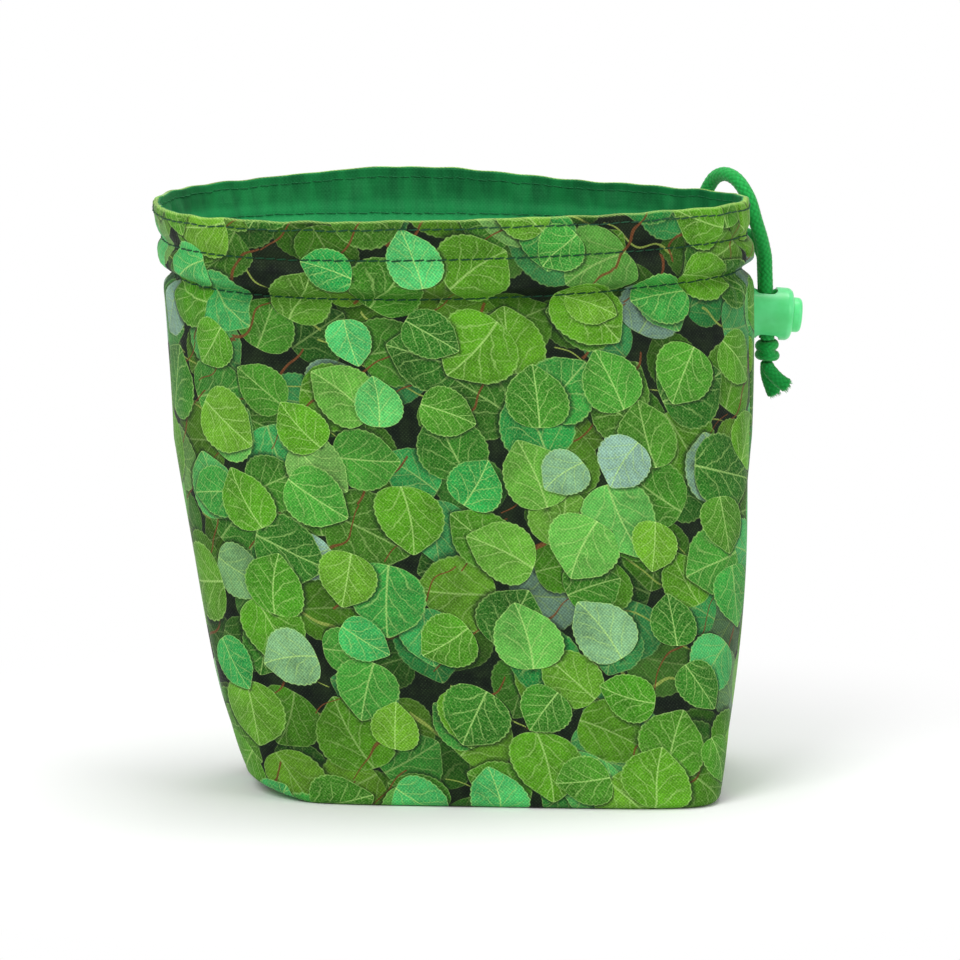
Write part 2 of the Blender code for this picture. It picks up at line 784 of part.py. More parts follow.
def eyelet_thread(name, arc, parts, finish):
    """The satin stitches round an eyelet, as a ring that follows the cloth a gap off its face."""
    half_length = (EYELET_LENGTH + EYELET_STITCH) / 2
    half_height = (EYELET_HEIGHT + EYELET_STITCH) / 2
    line = []
    for turn in np.linspace(0, 2 * math.pi, ROUND_SEGMENTS, endpoint=False):
        place, _, out = face_frame(arc + half_length * math.cos(turn))
        height = channel_middle() + half_height * math.sin(turn)
        drop = float(relief(channel_middle()) - relief(height))
        stand = place + out * (GAP + EYELET_STITCH / 2 - drop)
        line.append(stand + Vector((0, 0, half_height * math.sin(turn))))
    return tube(name, line, EYELET_STITCH, parts, finish, closed=True, fineness=1)


def remove_everything():
    """Empties the scene."""
    for thing in list(bpy.data.objects):
        bpy.data.objects.remove(thing)


def new_collection(name):
    """A collection in the scene."""
    made = bpy.data.collections.new(name)
    bpy.context.scene.collection.children.link(made)
    return made


def make_cloth(parts, cutters):
    """The printed cloth's two panels with their eyelets, and the lining's two panels."""
    printed = print_material()
    lining = material("lining_cotton", LINING_GREEN, 0.85)
    back = cloth_panel("outer_back_panel", 1, print_offset, PRINT_CLOTH, parts, printed)
    cloth_panel("outer_front_panel", -1, print_offset, PRINT_CLOTH, parts, printed)
    cloth_panel("lining_back_panel", 1, lining_offset, LINING_CLOTH, parts, lining)
    cloth_panel("lining_front_panel", -1, lining_offset, LINING_CLOTH, parts, lining)
    cut(back, eyelet_cutter("eyelet_a_hole", EYELET_A_ARC, cutters))
    cut(back, eyelet_cutter("eyelet_b_hole", EYELET_B_ARC, cutters))


def make_stitching(parts):
    """The three rows round the band and the stitches round the two eyelets."""
    thread = material("sewing_thread", THREAD_GREEN, 0.6)
    stitched_row("rim_topstitch_thread", edge_row(), parts, thread)
    stitched_row("upper_channel_thread", upper_row(), parts, thread)
    stitched_row("lower_channel_thread", lower_row(), parts, thread)
    eyelet_thread("eyelet_a_thread", EYELET_A_ARC, parts, thread)
    eyelet_thread("eyelet_b_thread", EYELET_B_ARC, parts, thread)


def make_cord(parts):
    """The drawcord: the held length in the channel, two free strands, the knot and two cut ends."""
    cord = material("braided_cord", CORD_GREEN, 0.7)
    tube("drawcord_in_channel", channel_cord_line(), CORD, parts, cord)
    tube("drawcord_strand_a", smooth_line(strand_a_route(), CORD_STEP), CORD, parts, cord)
    tube("drawcord_strand_b", smooth_line(strand_b_route(), CORD_STEP), CORD, parts, cord)
    cord_knot(parts, cord)
    tube("drawcord_tail_a", smooth_line(tail_route(-1), CORD_STEP / 2), CORD, parts, cord)
    tube("drawcord_tail_b", smooth_line(tail_route(1), CORD_STEP / 2), CORD, parts, cord)


def make_lock(parts, cutters):
    """The cord lock's barrel, plunger and spring."""
    plastic = material("lock_plastic", LOCK_GREEN, 0.35)
    steel = material("spring_steel", SPRING_STEEL, 0.3, 1.0)
    lock_barrel(parts, cutters, plastic)
    lock_plunger(parts, cutters, plastic)
    lock_spring(parts, steel)


def main():
    remove_everything()
    parts = new_collection("drawstring_pouch")
    cutters = new_collection("cutters")
    make_cloth(parts, cutters)
    make_stitching(parts)
    make_cord(parts)
    make_lock(parts, cutters)


main()
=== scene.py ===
# %% [markdown]
# # A lined drawstring pouch with a cord lock
# The pouch stands open on a boxed base. Printed cotton is outside, plain green cotton inside, and a
# braided cord runs in a sewn channel under the rim and leaves it by two stitched eyelets.
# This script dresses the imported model, which gives every place and size, with cloth, thread, braid
# and plastic. It works in metres, with the front towards -Y and up towards +Z.

import math

import bpy
import numpy as np
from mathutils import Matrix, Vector


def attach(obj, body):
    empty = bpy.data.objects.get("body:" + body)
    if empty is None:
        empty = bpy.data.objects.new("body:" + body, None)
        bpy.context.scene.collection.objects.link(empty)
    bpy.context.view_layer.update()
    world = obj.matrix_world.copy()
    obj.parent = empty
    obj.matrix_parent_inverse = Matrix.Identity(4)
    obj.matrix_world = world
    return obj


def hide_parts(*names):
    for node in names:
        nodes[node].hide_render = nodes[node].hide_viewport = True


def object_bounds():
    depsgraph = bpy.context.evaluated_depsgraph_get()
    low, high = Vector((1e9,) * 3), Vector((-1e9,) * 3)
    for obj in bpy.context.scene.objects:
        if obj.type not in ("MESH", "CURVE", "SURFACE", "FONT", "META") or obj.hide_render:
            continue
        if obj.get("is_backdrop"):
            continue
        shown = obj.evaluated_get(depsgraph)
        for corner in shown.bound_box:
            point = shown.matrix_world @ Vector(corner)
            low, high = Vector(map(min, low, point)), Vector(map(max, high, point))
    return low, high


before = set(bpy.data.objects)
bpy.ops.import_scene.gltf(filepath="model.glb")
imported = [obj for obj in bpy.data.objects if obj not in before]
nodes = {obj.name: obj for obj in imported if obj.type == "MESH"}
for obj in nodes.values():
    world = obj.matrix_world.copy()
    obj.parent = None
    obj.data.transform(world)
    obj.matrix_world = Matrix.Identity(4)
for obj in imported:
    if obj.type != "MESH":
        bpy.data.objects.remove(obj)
cad_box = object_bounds()

# %% [markdown]
# ## The camera
# The photograph looks at the front, a little from above and from far away, so the camera has a long
# lens. It stands on a line through a point in the pouch, and it aims a little beside that point, so
# the pouch lies in the picture where it lies in the photograph.

# %% Camera
CAMERA_AZIMUTH = math.radians(-2.85)
CAMERA_HEIGHT_ANGLE = math.radians(9.0)
CAMERA_DISTANCE = 1.801
CAMERA_LENS, SENSOR_WIDTH = 247.86, 36.0
LOOKED_AT = Vector((-0.000459, 0.0, 0.081))
AIM_RIGHT = 0.007365
AIM_UP = 0.001900

away = Vector((
    math.sin(CAMERA_AZIMUTH) * math.cos(CAMERA_HEIGHT_ANGLE),
    -math.cos(CAMERA_AZIMUTH) * math.cos(CAMERA_HEIGHT_ANGLE),
    math.sin(CAMERA_HEIGHT_ANGLE),
))
picture_right = Vector((math.cos(CAMERA_AZIMUTH), math.sin(CAMERA_AZIMUTH), 0.0))
picture_up = away.cross(picture_right)
lens = bpy.data.cameras.new("camera")
lens.lens = CAMERA_LENS
lens.sensor_width = SENSOR_WIDTH
lens.clip_start = 0.05
camera = bpy.data.objects.new("camera", lens)
bpy.context.scene.collection.objects.link(camera)
camera.location = LOOKED_AT + away * CAMERA_DISTANCE
aim = LOOKED_AT + picture_right * AIM_RIGHT + picture_up * AIM_UP
camera.rotation_euler = (aim - camera.location).to_track_quat("-Z", "Y").to_euler()
bpy.context.scene.camera = camera
print("camera at", tuple(round(c, 3) for c in camera.location))

# %% [markdown]
# ## Helpers for meshes
# Every surface here is a grid of points, worked out as one numpy array with a row for each step one
# way and a column for each step the other way. One helper turns such a grid into a mesh, with a UV
# map in metres so that a pattern keeps its real scale, and another sweeps a round section along a
# line for cords and threads.

# %% Grid to mesh
def put_mesh(name, points, quads, uv=None, values=None, more_faces=()):
    """A mesh object from points and faces, with a UV for each point and named values per point."""
    mesh = bpy.data.meshes.new(name)
    faces = [*np.asarray(quads).tolist(), *more_faces]
    mesh.from_pydata(points.reshape(-1, 3).tolist(), [], faces)
    corner = np.zeros(len(mesh.loops), np.int32)
    mesh.loops.foreach_get("vertex_index", corner)
    if uv is not None:
        layer = mesh.uv_layers.new(name="metres")
        layer.data.foreach_set("uv", uv.reshape(-1, 2)[corner].astype(np.float32).ravel())
    for key, value in (values or {}).items():
        made = mesh.attributes.new(key, "FLOAT", "POINT")
        made.data.foreach_set("value", value.astype(np.float32).ravel())
    mesh.shade_smooth()
    mesh.update()
    thing = bpy.data.objects.new(name, mesh)
    bpy.context.scene.collection.objects.link(thing)
    return thing


def grid_faces(rows, columns, round_rows=False, round_columns=False):
    """Faces between neighbours of a grid, closed in either direction if asked."""
    i = np.arange(rows if round_rows else rows - 1)[:, None]
    j = np.arange(columns if round_columns else columns - 1)[None, :]
    near, far = i * columns, (i + 1) % rows * columns
    right = (j + 1) % columns
    return np.stack([near + j, near + right, far + right, far + j], axis=-1).reshape(-1, 4)


def unit(v):
    """Vectors scaled to length 1."""
    return v / np.linalg.norm(v, axis=-1, keepdims=True)


def line_length(line):
    """The distance along a line of points, up to each of them."""
    return np.concatenate([[0], np.cumsum(np.linalg.norm(np.diff(line, axis=0), axis=1))])


def even_line(line, spacing):
    """The same line with its points an even distance apart."""
    along = line_length(line)
    at = np.linspace(0, along[-1], max(3, round(along[-1] / spacing) + 1))
    return np.stack([np.interp(at, along, line[:, k]) for k in range(3)], axis=1)


print("helpers ready")

# %% [markdown]
# ## The drawcord
# The real cord is one soft round braid, 4 mm thick. It is limp, so its route is given as points that
# hang and bend as such a cord does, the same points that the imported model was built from. A smooth
# line goes through them: between two points it is a cubic, and its slope at a point is the slope of
# the circle through that point and its two neighbours, so straight runs stay straight.

# %% Routes of the free cord
CORD = 0.0040
STRAND_A = (
    (.06172, .02905, .14599), (.06326, .02949, .14600), (.06622, .03114, .14712),
    (.07052, .03504, .15512), (.07192, .03404, .15882), (.07352, .03164, .16172),
    (.07592, .02764, .16322), (.07852, .02364, .16232), (.08162, .02024, .15782),
    (.08382, .01974, .15092), (.08592, .02144, .14412), (.08670, .02229, .13991),
    (.08673, .02229, .13891), (.08694, .02229, .13311), (.08722, .02229, .12512),
    (.08747, .02229, .11787),
)
STRAND_B = (
    (.07652, .01744, .14607), (.07668, .01903, .14607), (.07732, .01964, .14642),
    (.08242, .02424, .14642), (.08552, .02644, .14312), (.08670, .02659, .13991),
    (.08673, .02659, .13891), (.08694, .02659, .13311), (.08722, .02659, .12512),
    (.08747, .02659, .11787),
)
TAIL_A = (
    (.08769, .02229, .11148), (.08771, .02229, .11088), (.08773, .02229, .11028),
    (.08889, .02199, .10848), (.09069, .02159, .10668), (.09369, .02119, .10468),
)
TAIL_B = (
    (.08769, .02659, .11148), (.08771, .02659, .11088), (.08773, .02659, .11028),
    (.08799, .02679, .10748), (.08889, .02689, .10448), (.09029, .02679, .10138),
)


def smooth_line(route, spacing):
    """A cubic between each two points, with circle slopes, resampled at an even spacing."""
    points = np.array(route, float)
    gaps = np.linalg.norm(np.diff(points, axis=0), axis=1)[:, None]
    chords = np.diff(points, axis=0) / gaps
    inner = (chords[:-1] * gaps[1:] + chords[1:] * gaps[:-1]) / (gaps[:-1] + gaps[1:])
    first, last = 1.5 * chords[:1] - 0.5 * inner[:1], 1.5 * chords[-1:] - 0.5 * inner[-1:]
    slopes = np.concatenate([first, inner, last])
    t = np.linspace(0, 1, 24, endpoint=False)[None, :, None]
    a, b, gap = points[:-1, None], points[1:, None], gaps[:, None]
    near = a * (1 + 2 * t) + gap * slopes[:-1, None] * t
    far = b * (3 - 2 * t) - gap * slopes[1:, None] * (1 - t)
    fine = (near * (1 - t) ** 2 + far * t**2).reshape(-1, 3)
    return even_line(np.concatenate([fine, points[-1:]]), spacing)


for label, route in (("strand a", STRAND_A), ("strand b", STRAND_B)):
    print(label, "is", round(1000 * line_length(smooth_line(route, 0.001))[-1], 1), "mm long")

# %% [markdown]
# ### A braid as a surface
# A round braid has eight yarns that wind one way and eight that wind the other way, over and under
# each other. On the unrolled skin they are two families of diagonal bands. In each diamond where two
# bands cross, one of them is on top, as on a chessboard, and its surface is round across the band.
# So the skin's radius is a sum of simple waves of two diagonal coordinates, and real relief, not
# only bump, gives the cord its ridged outline.

# %% Braided tubes
BRAID_YARNS = 8
BRAID_PITCH = 0.0017
BRAID_DEPTH = 0.00030
END_ROUNDING, END_NARROWING = 0.35, 0.6


def frames_along(line, closed=False):
    """Two directions across a line at each point, carried along it with no twist."""
    if closed:
        tangent = unit(np.roll(line, -1, axis=0) - np.roll(line, 1, axis=0))
    else:
        tangent = unit(np.gradient(line, axis=0))
    side = np.empty_like(line)
    start = np.cross(tangent[0], (0.31, 0.17, 0.93))
    side[0] = start / np.linalg.norm(start)
    for i in range(1, len(line)):
        turned = side[i - 1] - tangent[i] * np.dot(side[i - 1], tangent[i])
        side[i] = turned / np.linalg.norm(turned)
    return side, np.cross(tangent, side)


def braid_crown(turn, along):
    """1 on top of a yarn, 0 in the groove: half rounds over two crossing families of bands."""
    a = BRAID_YARNS * turn + along / BRAID_PITCH
    b = BRAID_YARNS * turn - along / BRAID_PITCH
    over = np.mod(np.floor(a) + np.floor(b), 2) > 0.5
    across = np.where(over, a, b) % 1
    lengthwise = np.where(over, b, a) % 1
    half_round = np.sqrt(np.clip(1 - (2 * across - 1) ** 2, 0, 1))
    return half_round * (0.72 + 0.28 * np.sin(math.pi * lengthwise))


def braid_parts(line, radius, around=48, closed=False, swell=None, round_ends=False):
    """Points, faces, UV and crown of a braided tube, closed to a ring or with flat or round ends."""
    side, up = frames_along(line, closed)
    along = line_length(line)
    turn = np.arange(around) / around
    crown = braid_crown(turn[None, :], along[:, None] * (CORD / 2) / radius)
    skin = radius - BRAID_DEPTH * radius / (CORD / 2) * (1 - crown)
    if swell is not None:
        skin = skin * swell[:, None]
    if round_ends:
        end = np.minimum(along, along[-1] - along) / (radius * END_ROUNDING)
        skin = skin * np.sqrt(1 - (1 - np.clip(end, 0, 1)) ** 2 * END_NARROWING)[:, None]
    angle = 2 * math.pi * turn
    ring = np.cos(angle)[None, :, None] * side[:, None] + np.sin(angle)[None, :, None] * up[:, None]
    points = line[:, None] + skin[..., None] * ring
    faces = grid_faces(len(line), around, closed, True)[:, ::-1]
    uv = np.stack(np.broadcast_arrays(turn[None, :] * 2 * math.pi * radius, along[:, None]), axis=-1)
    last = (len(line) - 1) * around
    caps = [] if closed else [list(range(around)), list(range(last, last + around))[::-1]]
    return points.reshape(-1, 3), faces, uv.reshape(-1, 2), crown.ravel(), caps


def join_parts(name, parts):
    """One object from several sets of points, faces, UV, crown and caps."""
    start = np.cumsum([0] + [len(p[0]) for p in parts])
    points = np.concatenate([p[0] for p in parts])
    faces = np.concatenate([p[1] + s for p, s in zip(parts, start)])
    caps = [[c + int(s) for c in cap] for p, s in zip(parts, start) for cap in p[4]]
    uv = np.concatenate([p[2] for p in parts])
    crown = np.concatenate([p[3] for p in parts])
    return put_mesh(name, points, faces, uv, {"crown": crown}, caps)


CORD_STEP = 0.00028
strand_a_line = smooth_line(STRAND_A, CORD_STEP)
strand_b_line = smooth_line(STRAND_B, CORD_STEP)
strand_a = join_parts("braided_strand_a", [braid_parts(strand_a_line, CORD / 2)])
strand_b = join_parts("braided_strand_b", [braid_parts(strand_b_line, CORD / 2)])
print("strand a has", len(strand_a.data.vertices), "points")

# %% [markdown]
# ### The knot and the cut ends
# Under the lock both strands go into one knot, which shows as two stacked wraps of cord with a turn
# that crosses them. Each wrap is a closed braided tube round a flattened loop, tipped a little, and
# pressed into the next one as a tight knot presses its cord. The two cut ends spread below, and
# short loose fibres stand out of each cut.

# %% Knot
KNOT_MIDDLE = np.array((0.087581, 0.024444, 0.114674))
SLIDE_AXIS = np.array((-0.0348995, 0.0, 0.9993908))
KNOT_ACROSS = np.array((0.9993908, 0.0, 0.0348995))
KNOT_HALF = (0.00345, 0.0047, 0.0029)
WRAP_RADIUS, CROSSING_RADIUS, CORE_RADIUS = 0.00147, 0.00125, 0.0018
ACROSS_CORDS = np.array((0, 1.0, 0))
# Height, tip and squeeze of each wrap
WRAPS = ((0.00138, 0.00022, 0.93), (-0.00136, -0.00024, 1.0))
CROSSING_START, CROSSING_RUN, CROSSING_SAG = (-0.0016, 0.0011), (0.0030, -0.0024), 0.0012
CORE_HALF, CORE_ASIDE = 0.0021, 0.00215


def knot_place(x, y, z):
    """Points at x across, y in depth and z up the slide axis from the knot's middle."""
    return KNOT_MIDDLE + x[:, None] * KNOT_ACROSS + y[:, None] * ACROSS_CORDS + z[:, None] * SLIDE_AXIS


def wrap(height, tip, squeeze):
    """A closed loop: an ellipse at a height, tipped so that its front is lower than its back."""
    angle = np.linspace(0, 2 * math.pi, 90, endpoint=False)
    x = (KNOT_HALF[0] - WRAP_RADIUS) * squeeze * np.cos(angle)
    y = (KNOT_HALF[1] - WRAP_RADIUS) * squeeze * np.sin(angle)
    z = height + tip * np.cos(angle - 0.6)
    return braid_parts(knot_place(x, y, z), WRAP_RADIUS, 36, closed=True)


turn_t = np.linspace(0, 1, 46)
crossing = knot_place(
    CROSSING_START[0] + CROSSING_RUN[0] * turn_t,
    -KNOT_HALF[1] + CROSSING_RADIUS + CROSSING_SAG * (2 * turn_t - 1) ** 2,
    CROSSING_START[1] + CROSSING_RUN[1] * turn_t,
)
core_up, core_aside = np.linspace(-1, 1, 16) * CORE_HALF, np.full(16, CORE_ASIDE)
knot_parts = [
    *(wrap(*each) for each in WRAPS),
    braid_parts(crossing, CROSSING_RADIUS, 32, round_ends=True),
    *(braid_parts(knot_place(core_up * 0, side * core_aside, core_up), CORE_RADIUS, 32, round_ends=True)
      for side in (1, -1)),
]
knot = join_parts("cord_knot_wraps", knot_parts)
print("knot has", len(knot.data.polygons), "faces")

# %% Cut ends
FIBRE, FIBRE_REACH = 0.00009, (0.0005, 0.0013)
FIBRE_STEPS, FIBRE_SIDES = 4, 3
CUT_NARROWER = 0.97
END_FLARE, END_WAIST, FLARE_REACH = 0.07, 0.10, 0.0016


def loose_fibres(line, seed, count=46):
    """Short tapered fibres from a cut: each is a bent cone of three sides on the end's disc."""
    random = np.random.default_rng(seed)
    side, up = frames_along(line)
    tip, ahead = line[-1], unit(line[-1] - line[-4])
    spread, angle = np.sqrt(random.random(count)), random.random(count) * 2 * math.pi
    radial = np.cos(angle)[:, None] * side[-1] + np.sin(angle)[:, None] * up[-1]
    root = tip + radial * spread[:, None] * CORD / 2 * 0.86 - ahead * 0.0003
    reach = random.uniform(*FIBRE_REACH, count)[:, None]
    bent = unit(ahead + radial * (0.35 * spread[:, None]) + random.normal(0, 0.25, (count, 3)))
    t = np.linspace(0, 1, FIBRE_STEPS)[None, :, None]
    middle = root[:, None] + reach[:, None] * (ahead * t * (1 - t) + bent[:, None] * t)
    turn = np.arange(FIBRE_SIDES) * 2 * math.pi / FIBRE_SIDES
    around = np.cos(turn)[:, None] * side[-1] + np.sin(turn)[:, None] * up[-1]
    points = middle[:, :, None] + around * (FIBRE * (1 - 0.8 * t))[..., None]
    size = FIBRE_STEPS * FIBRE_SIDES
    faces = grid_faces(FIBRE_STEPS, FIBRE_SIDES, False, True)[:, ::-1]
    faces = (faces[None] + size * np.arange(count)[:, None, None]).reshape(-1, 4)
    uv = np.zeros((count * size, 2))
    caps = [[(k + 1) * size - side_point for side_point in range(1, FIBRE_SIDES + 1)] for k in range(count)]
    # A crown of 0.95 gives the loose fibres the colours that the cord's material paints on yarn crowns as
    # highlight.
    return points.reshape(-1, 3), faces, uv, np.full(count * size, 0.95), caps


def cut_end(name, route, seed):
    """A short braided tube that opens a little at its cut, with its loose fibres."""
    line = smooth_line(route, CORD_STEP)[:-2]
    to_end = line_length(line)[-1] - line_length(line)
    swell = 1 + END_FLARE * np.exp(-((to_end / FLARE_REACH) ** 2))
    swell *= 1 - END_WAIST * np.exp(-(((to_end[0] - to_end) / FLARE_REACH) ** 2))
    tube = braid_parts(line, CORD / 2 * CUT_NARROWER, swell=swell, round_ends=True)
    return join_parts(name, [tube, loose_fibres(line, seed)])


tail_a = cut_end("cut_end_a", TAIL_A, 11)
tail_b = cut_end("cut_end_b", TAIL_B, 12)
print("cut ends:", tail_a.name, tail_b.name)

# %% [markdown]
# ## The form of the pouch
# The pouch is a lofted shell. At each height its section is a superellipse, whose exponent goes from
# squarish at the base to nearly an ellipse at the mouth, and whose width and depth swell from the
# base up. The cloth is measured along such a loop from the right end, by the back, as a share of the
# way round. The loops are worked out once on a fine table of shares and heights, and every piece of
# cloth and thread reads its points from that table.

# %% Sizes of the form
HEIGHT = 0.160
BASE = (0.1258, 0.0800)
BODY = (0.1577, 0.0885)
MOUTH = (0.1614, 0.0920)
FULL_WIDTH_HEIGHT = 0.095
SWELL_POWER = 0.7
BASE_SHIFT, BODY_SHIFT = 0.0080, 0.0035
CENTRE_SHIFT = 0.000929
BASE_SQUARE, BODY_SQUARE, MOUTH_SQUARE, BASE_END_SQUARE = 6.0, 2.4, 2.25, 2.0
BASE_LEAN, MOUTH_LEAN = -0.22, 0.30
BASE_EDGE_RADIUS = 0.0025
SEAM_TURN = 0.012
TABLE_ROWS, TABLE_COLUMNS = 320, 1440


def swelling(low, high, index):
    """A size at a height: from base to body with the low share, then on to the mouth."""
    base, body, mouth = BASE[index], BODY[index], MOUTH[index]
    return base + (body - base) * low**SWELL_POWER + (mouth - body) * high


def loops(z):
    """For each height the loop x = a cos^p, y = b sin^p (1 - lean cos^p), moved sideways."""
    z = z[:, None]
    angle = np.linspace(0, 2 * math.pi, TABLE_COLUMNS + 1)[None, :]
    low = np.clip(z / FULL_WIDTH_HEIGHT, 0, 1)
    high = np.clip((z - FULL_WIDTH_HEIGHT) / (HEIGHT - FULL_WIDTH_HEIGHT), 0, 1)
    square = BASE_SQUARE - (BASE_SQUARE - BODY_SQUARE) * np.sqrt(low) - (BODY_SQUARE - MOUTH_SQUARE) * high
    square = square + BASE_END_SQUARE * (1 - np.sqrt(low)) * np.cos(angle)
    power = 2 / square
    across = np.sign(np.cos(angle)) * np.abs(np.cos(angle)) ** power
    along = np.sign(np.sin(angle)) * np.abs(np.sin(angle)) ** power
    lean = BASE_LEAN + (MOUTH_LEAN - BASE_LEAN) * z / HEIGHT
    move = BASE_SHIFT + (BODY_SHIFT - BASE_SHIFT) * low**SWELL_POWER - BODY_SHIFT * high**2
    x = move - CENTRE_SHIFT + swelling(low, high, 0) / 2 * across
    y = swelling(low, high, 1) / 2 * (1 - lean * across) * along
    return np.stack([x, y], axis=-1)


# %% Table of the form
table_z = np.linspace(0, HEIGHT, TABLE_ROWS + 1)
raw_loops = loops(table_z)
steps = np.linalg.norm(np.diff(raw_loops, axis=1), axis=2)
raw_length = np.concatenate([np.zeros((TABLE_ROWS + 1, 1)), np.cumsum(steps, axis=1)], axis=1)
LOOP_LENGTH = raw_length[:, -1]
shares = np.linspace(0, 1, TABLE_COLUMNS + 1)


def even_loop(row):
    """One loop with its points at even shares, turned so that the side seams lean."""
    place = np.mod(shares * LOOP_LENGTH[row] - SEAM_TURN * table_z[row] / HEIGHT, LOOP_LENGTH[row])
    return np.stack([np.interp(place, raw_length[row], raw_loops[row, :, k]) for k in (0, 1)], axis=-1)


FORM = np.array([even_loop(row) for row in range(TABLE_ROWS + 1)])
ahead = np.roll(FORM[:, :-1], -1, axis=1) - np.roll(FORM[:, :-1], 1, axis=1)
facing = unit(np.stack([ahead[..., 1], -ahead[..., 0]], axis=-1))
FACING = np.concatenate([facing, facing[:, :1]], axis=1)


def look_up(table, share, z):
    """The table's value between its four nearest entries, weighted by nearness."""
    s, h = np.mod(share, 1) * TABLE_COLUMNS, np.clip(z / HEIGHT, 0, 1) * TABLE_ROWS
    j, i = np.minimum(s.astype(int), TABLE_COLUMNS - 1), np.minimum(h.astype(int), TABLE_ROWS - 1)
    s, h = (s - j)[..., None], (h - i)[..., None]
    low = table[i, j] * (1 - s) + table[i, j + 1] * s
    high = table[i + 1, j] * (1 - s) + table[i + 1, j + 1] * s
    return low * (1 - h) + high * h


CHANNEL_ROWS = (0.139, 0.150)
CHANNEL_MIDDLE = 0.1445
EDGE_ROW = 0.1578
MOUTH_LENGTH = float(np.interp(CHANNEL_MIDDLE, table_z, LOOP_LENGTH))
print("the channel is", round(MOUTH_LENGTH * 1000, 1), "mm round")

# %% [markdown]
# ### Relief, folds and puckers
# Thread pulls the cloth in along each row, and the cord fills the channel between two of the rows.
# Small gathers stand across the rows, close together and shallow, and the body has broad soft
# folds. All of them are sums of waves with seeded random phases that fit a whole number of times
# round the pouch, so they meet at the ends, and they fade where the cloth is held.

# %% Offsets of the cloth
PINCHES = ((CHANNEL_ROWS[0], 0.0034, 0.0021), (CHANNEL_ROWS[1], 0.0013, 0.0022))
CHANNEL_SWELL, CHANNEL_FLAT, CHANNEL_HALF = 0.0006, 0.0015, 0.0055
RIM_BACK_RISE, RIM_WAVE = 0.0014, 0.0010
RIM_HUMP, RIM_HUMP_PLACE, RIM_HUMP_REACH, RIM_END_DROP = 0.0032, -0.009, 0.036, 0.0017
ROW_END_RISE, ROW_RISE_REACH = 0.0020, 0.009
RIM_REACH = 0.006
# For each set of waves: seed, number of waves, fewest and most turns per round, lean, height
BROAD_FOLDS, SMALL_FOLDS = (3, 16, (4, 13), 30, 0.00062), (5, 14, (14, 34), 60, 0.00026)
GATHERS, RIM_RIPPLES = (8, 18, (52, 120), 0, 0.00030), (9, 12, (30, 90), 0, 0.00018)
RIM_UNEVEN = (10, 12, (5, 38), 0, 0.00020)
FOLDS_FROM, FOLDS_FADE = 0.002, 0.020
# Where the gathers are: share, height and reach
GATHERED = ((1, CHANNEL_ROWS[0] - 0.0012, 0.0060), (0.6, CHANNEL_ROWS[1], 0.0026))


def bump(z, middle, reach):
    """A smooth bump of height 1 at a middle."""
    return np.exp(-(((z - middle) / reach) ** 2))


def channel_wave(z):
    """1 over the cord, 0 at the two rows, with a flat top."""
    off = (np.abs(z - CHANNEL_MIDDLE) - CHANNEL_FLAT) / (CHANNEL_HALF - CHANNEL_FLAT)
    return 0.5 + 0.5 * np.cos(math.pi * np.clip(off, 0, 1))


def relief(z):
    """How far the printed cloth stands off the form: out over the cord, in at the rows."""
    pinched = sum(depth * bump(z, row, reach) for row, depth, reach in PINCHES)
    return CHANNEL_SWELL * channel_wave(z) - pinched


def raised(xy, z):
    """Real heights: the rim's back and its middles rise, and the lower row rises at both ends."""
    angle = np.arctan2(xy[..., 1] / MOUTH[1], (xy[..., 0] + CENTRE_SHIFT) / MOUTH[0])
    back = RIM_BACK_RISE * (z / HEIGHT) ** 3 * np.sin(angle)
    top = np.clip((z - CHANNEL_ROWS[1]) / (HEIGHT - CHANNEL_ROWS[1]), 0, 1)
    middles = RIM_WAVE * top * np.sin(angle) ** 2
    hump = RIM_HUMP * bump(xy[..., 0], RIM_HUMP_PLACE - CENTRE_SHIFT, RIM_HUMP_REACH)
    middles = middles + (hump - RIM_END_DROP) * top * np.clip(np.sin(angle), 0, 1)
    ends = ROW_END_RISE * bump(z, CHANNEL_ROWS[0], ROW_RISE_REACH) * np.cos(angle) ** 2
    return z + back + middles + ends


def waves(share, z, seed, count, turns, lean, height):
    """A sum of count waves round the pouch, of turns[0] to turns[1] per round, that lean with z."""
    random = np.random.default_rng(seed)
    total = np.zeros(np.broadcast(share, z).shape)
    for _ in range(count):
        number, phase = random.integers(turns[0], turns[1] + 1), random.random() * 2 * math.pi
        slant = random.uniform(-lean, lean)
        total += random.uniform(0.5, 1) * np.cos(2 * math.pi * number * share + slant * z + phase)
    return total * height / math.sqrt(count)


def folds(share, z):
    """Broad soft folds in the body and small gathers across the rows of stitches."""
    body = waves(share, z, *BROAD_FOLDS) + waves(share, z, *SMALL_FOLDS)
    body *= np.clip((z - FOLDS_FROM) / FOLDS_FADE, 0, 1)
    body *= np.clip((CHANNEL_ROWS[0] - z) / FOLDS_FADE, 0, 1)
    near = sum(part * bump(z, height, reach) for part, height, reach in GATHERED)
    rim = waves(share, z, *RIM_RIPPLES) * bump(z, HEIGHT, RIM_REACH)
    return body + waves(share, z, *GATHERS) * near + rim


def on_form(share, z, out):
    """Points at a share of the way round, a height, and a distance off the smooth form."""
    share, z, out = np.broadcast_arrays(*(np.asarray(v, float) for v in (share, z, out)))
    xy, facing = look_up(FORM, share, z), unit(look_up(FACING, share, z))
    moved = xy + facing * out[..., None]
    uneven = waves(share, z, *RIM_UNEVEN) * bump(z, HEIGHT, RIM_REACH)
    points = np.concatenate([moved, (raised(xy, z) + uneven)[..., None]], axis=-1)
    return points, np.concatenate([facing, np.zeros_like(facing[..., :1])], axis=-1)


def print_face(share, z):
    """How far the printed cloth's outer face is off the form."""
    return relief(z) + folds(share, z)


def arc_share(arc):
    """The share of the way round of a place in the channel, arc metres from its right end."""
    return (arc + SEAM_TURN * CHANNEL_MIDDLE / HEIGHT) / MOUTH_LENGTH


print("folds stand out up to", round(float(folds(shares, shares * 0 + 0.07).max()) * 1000, 2), "mm")

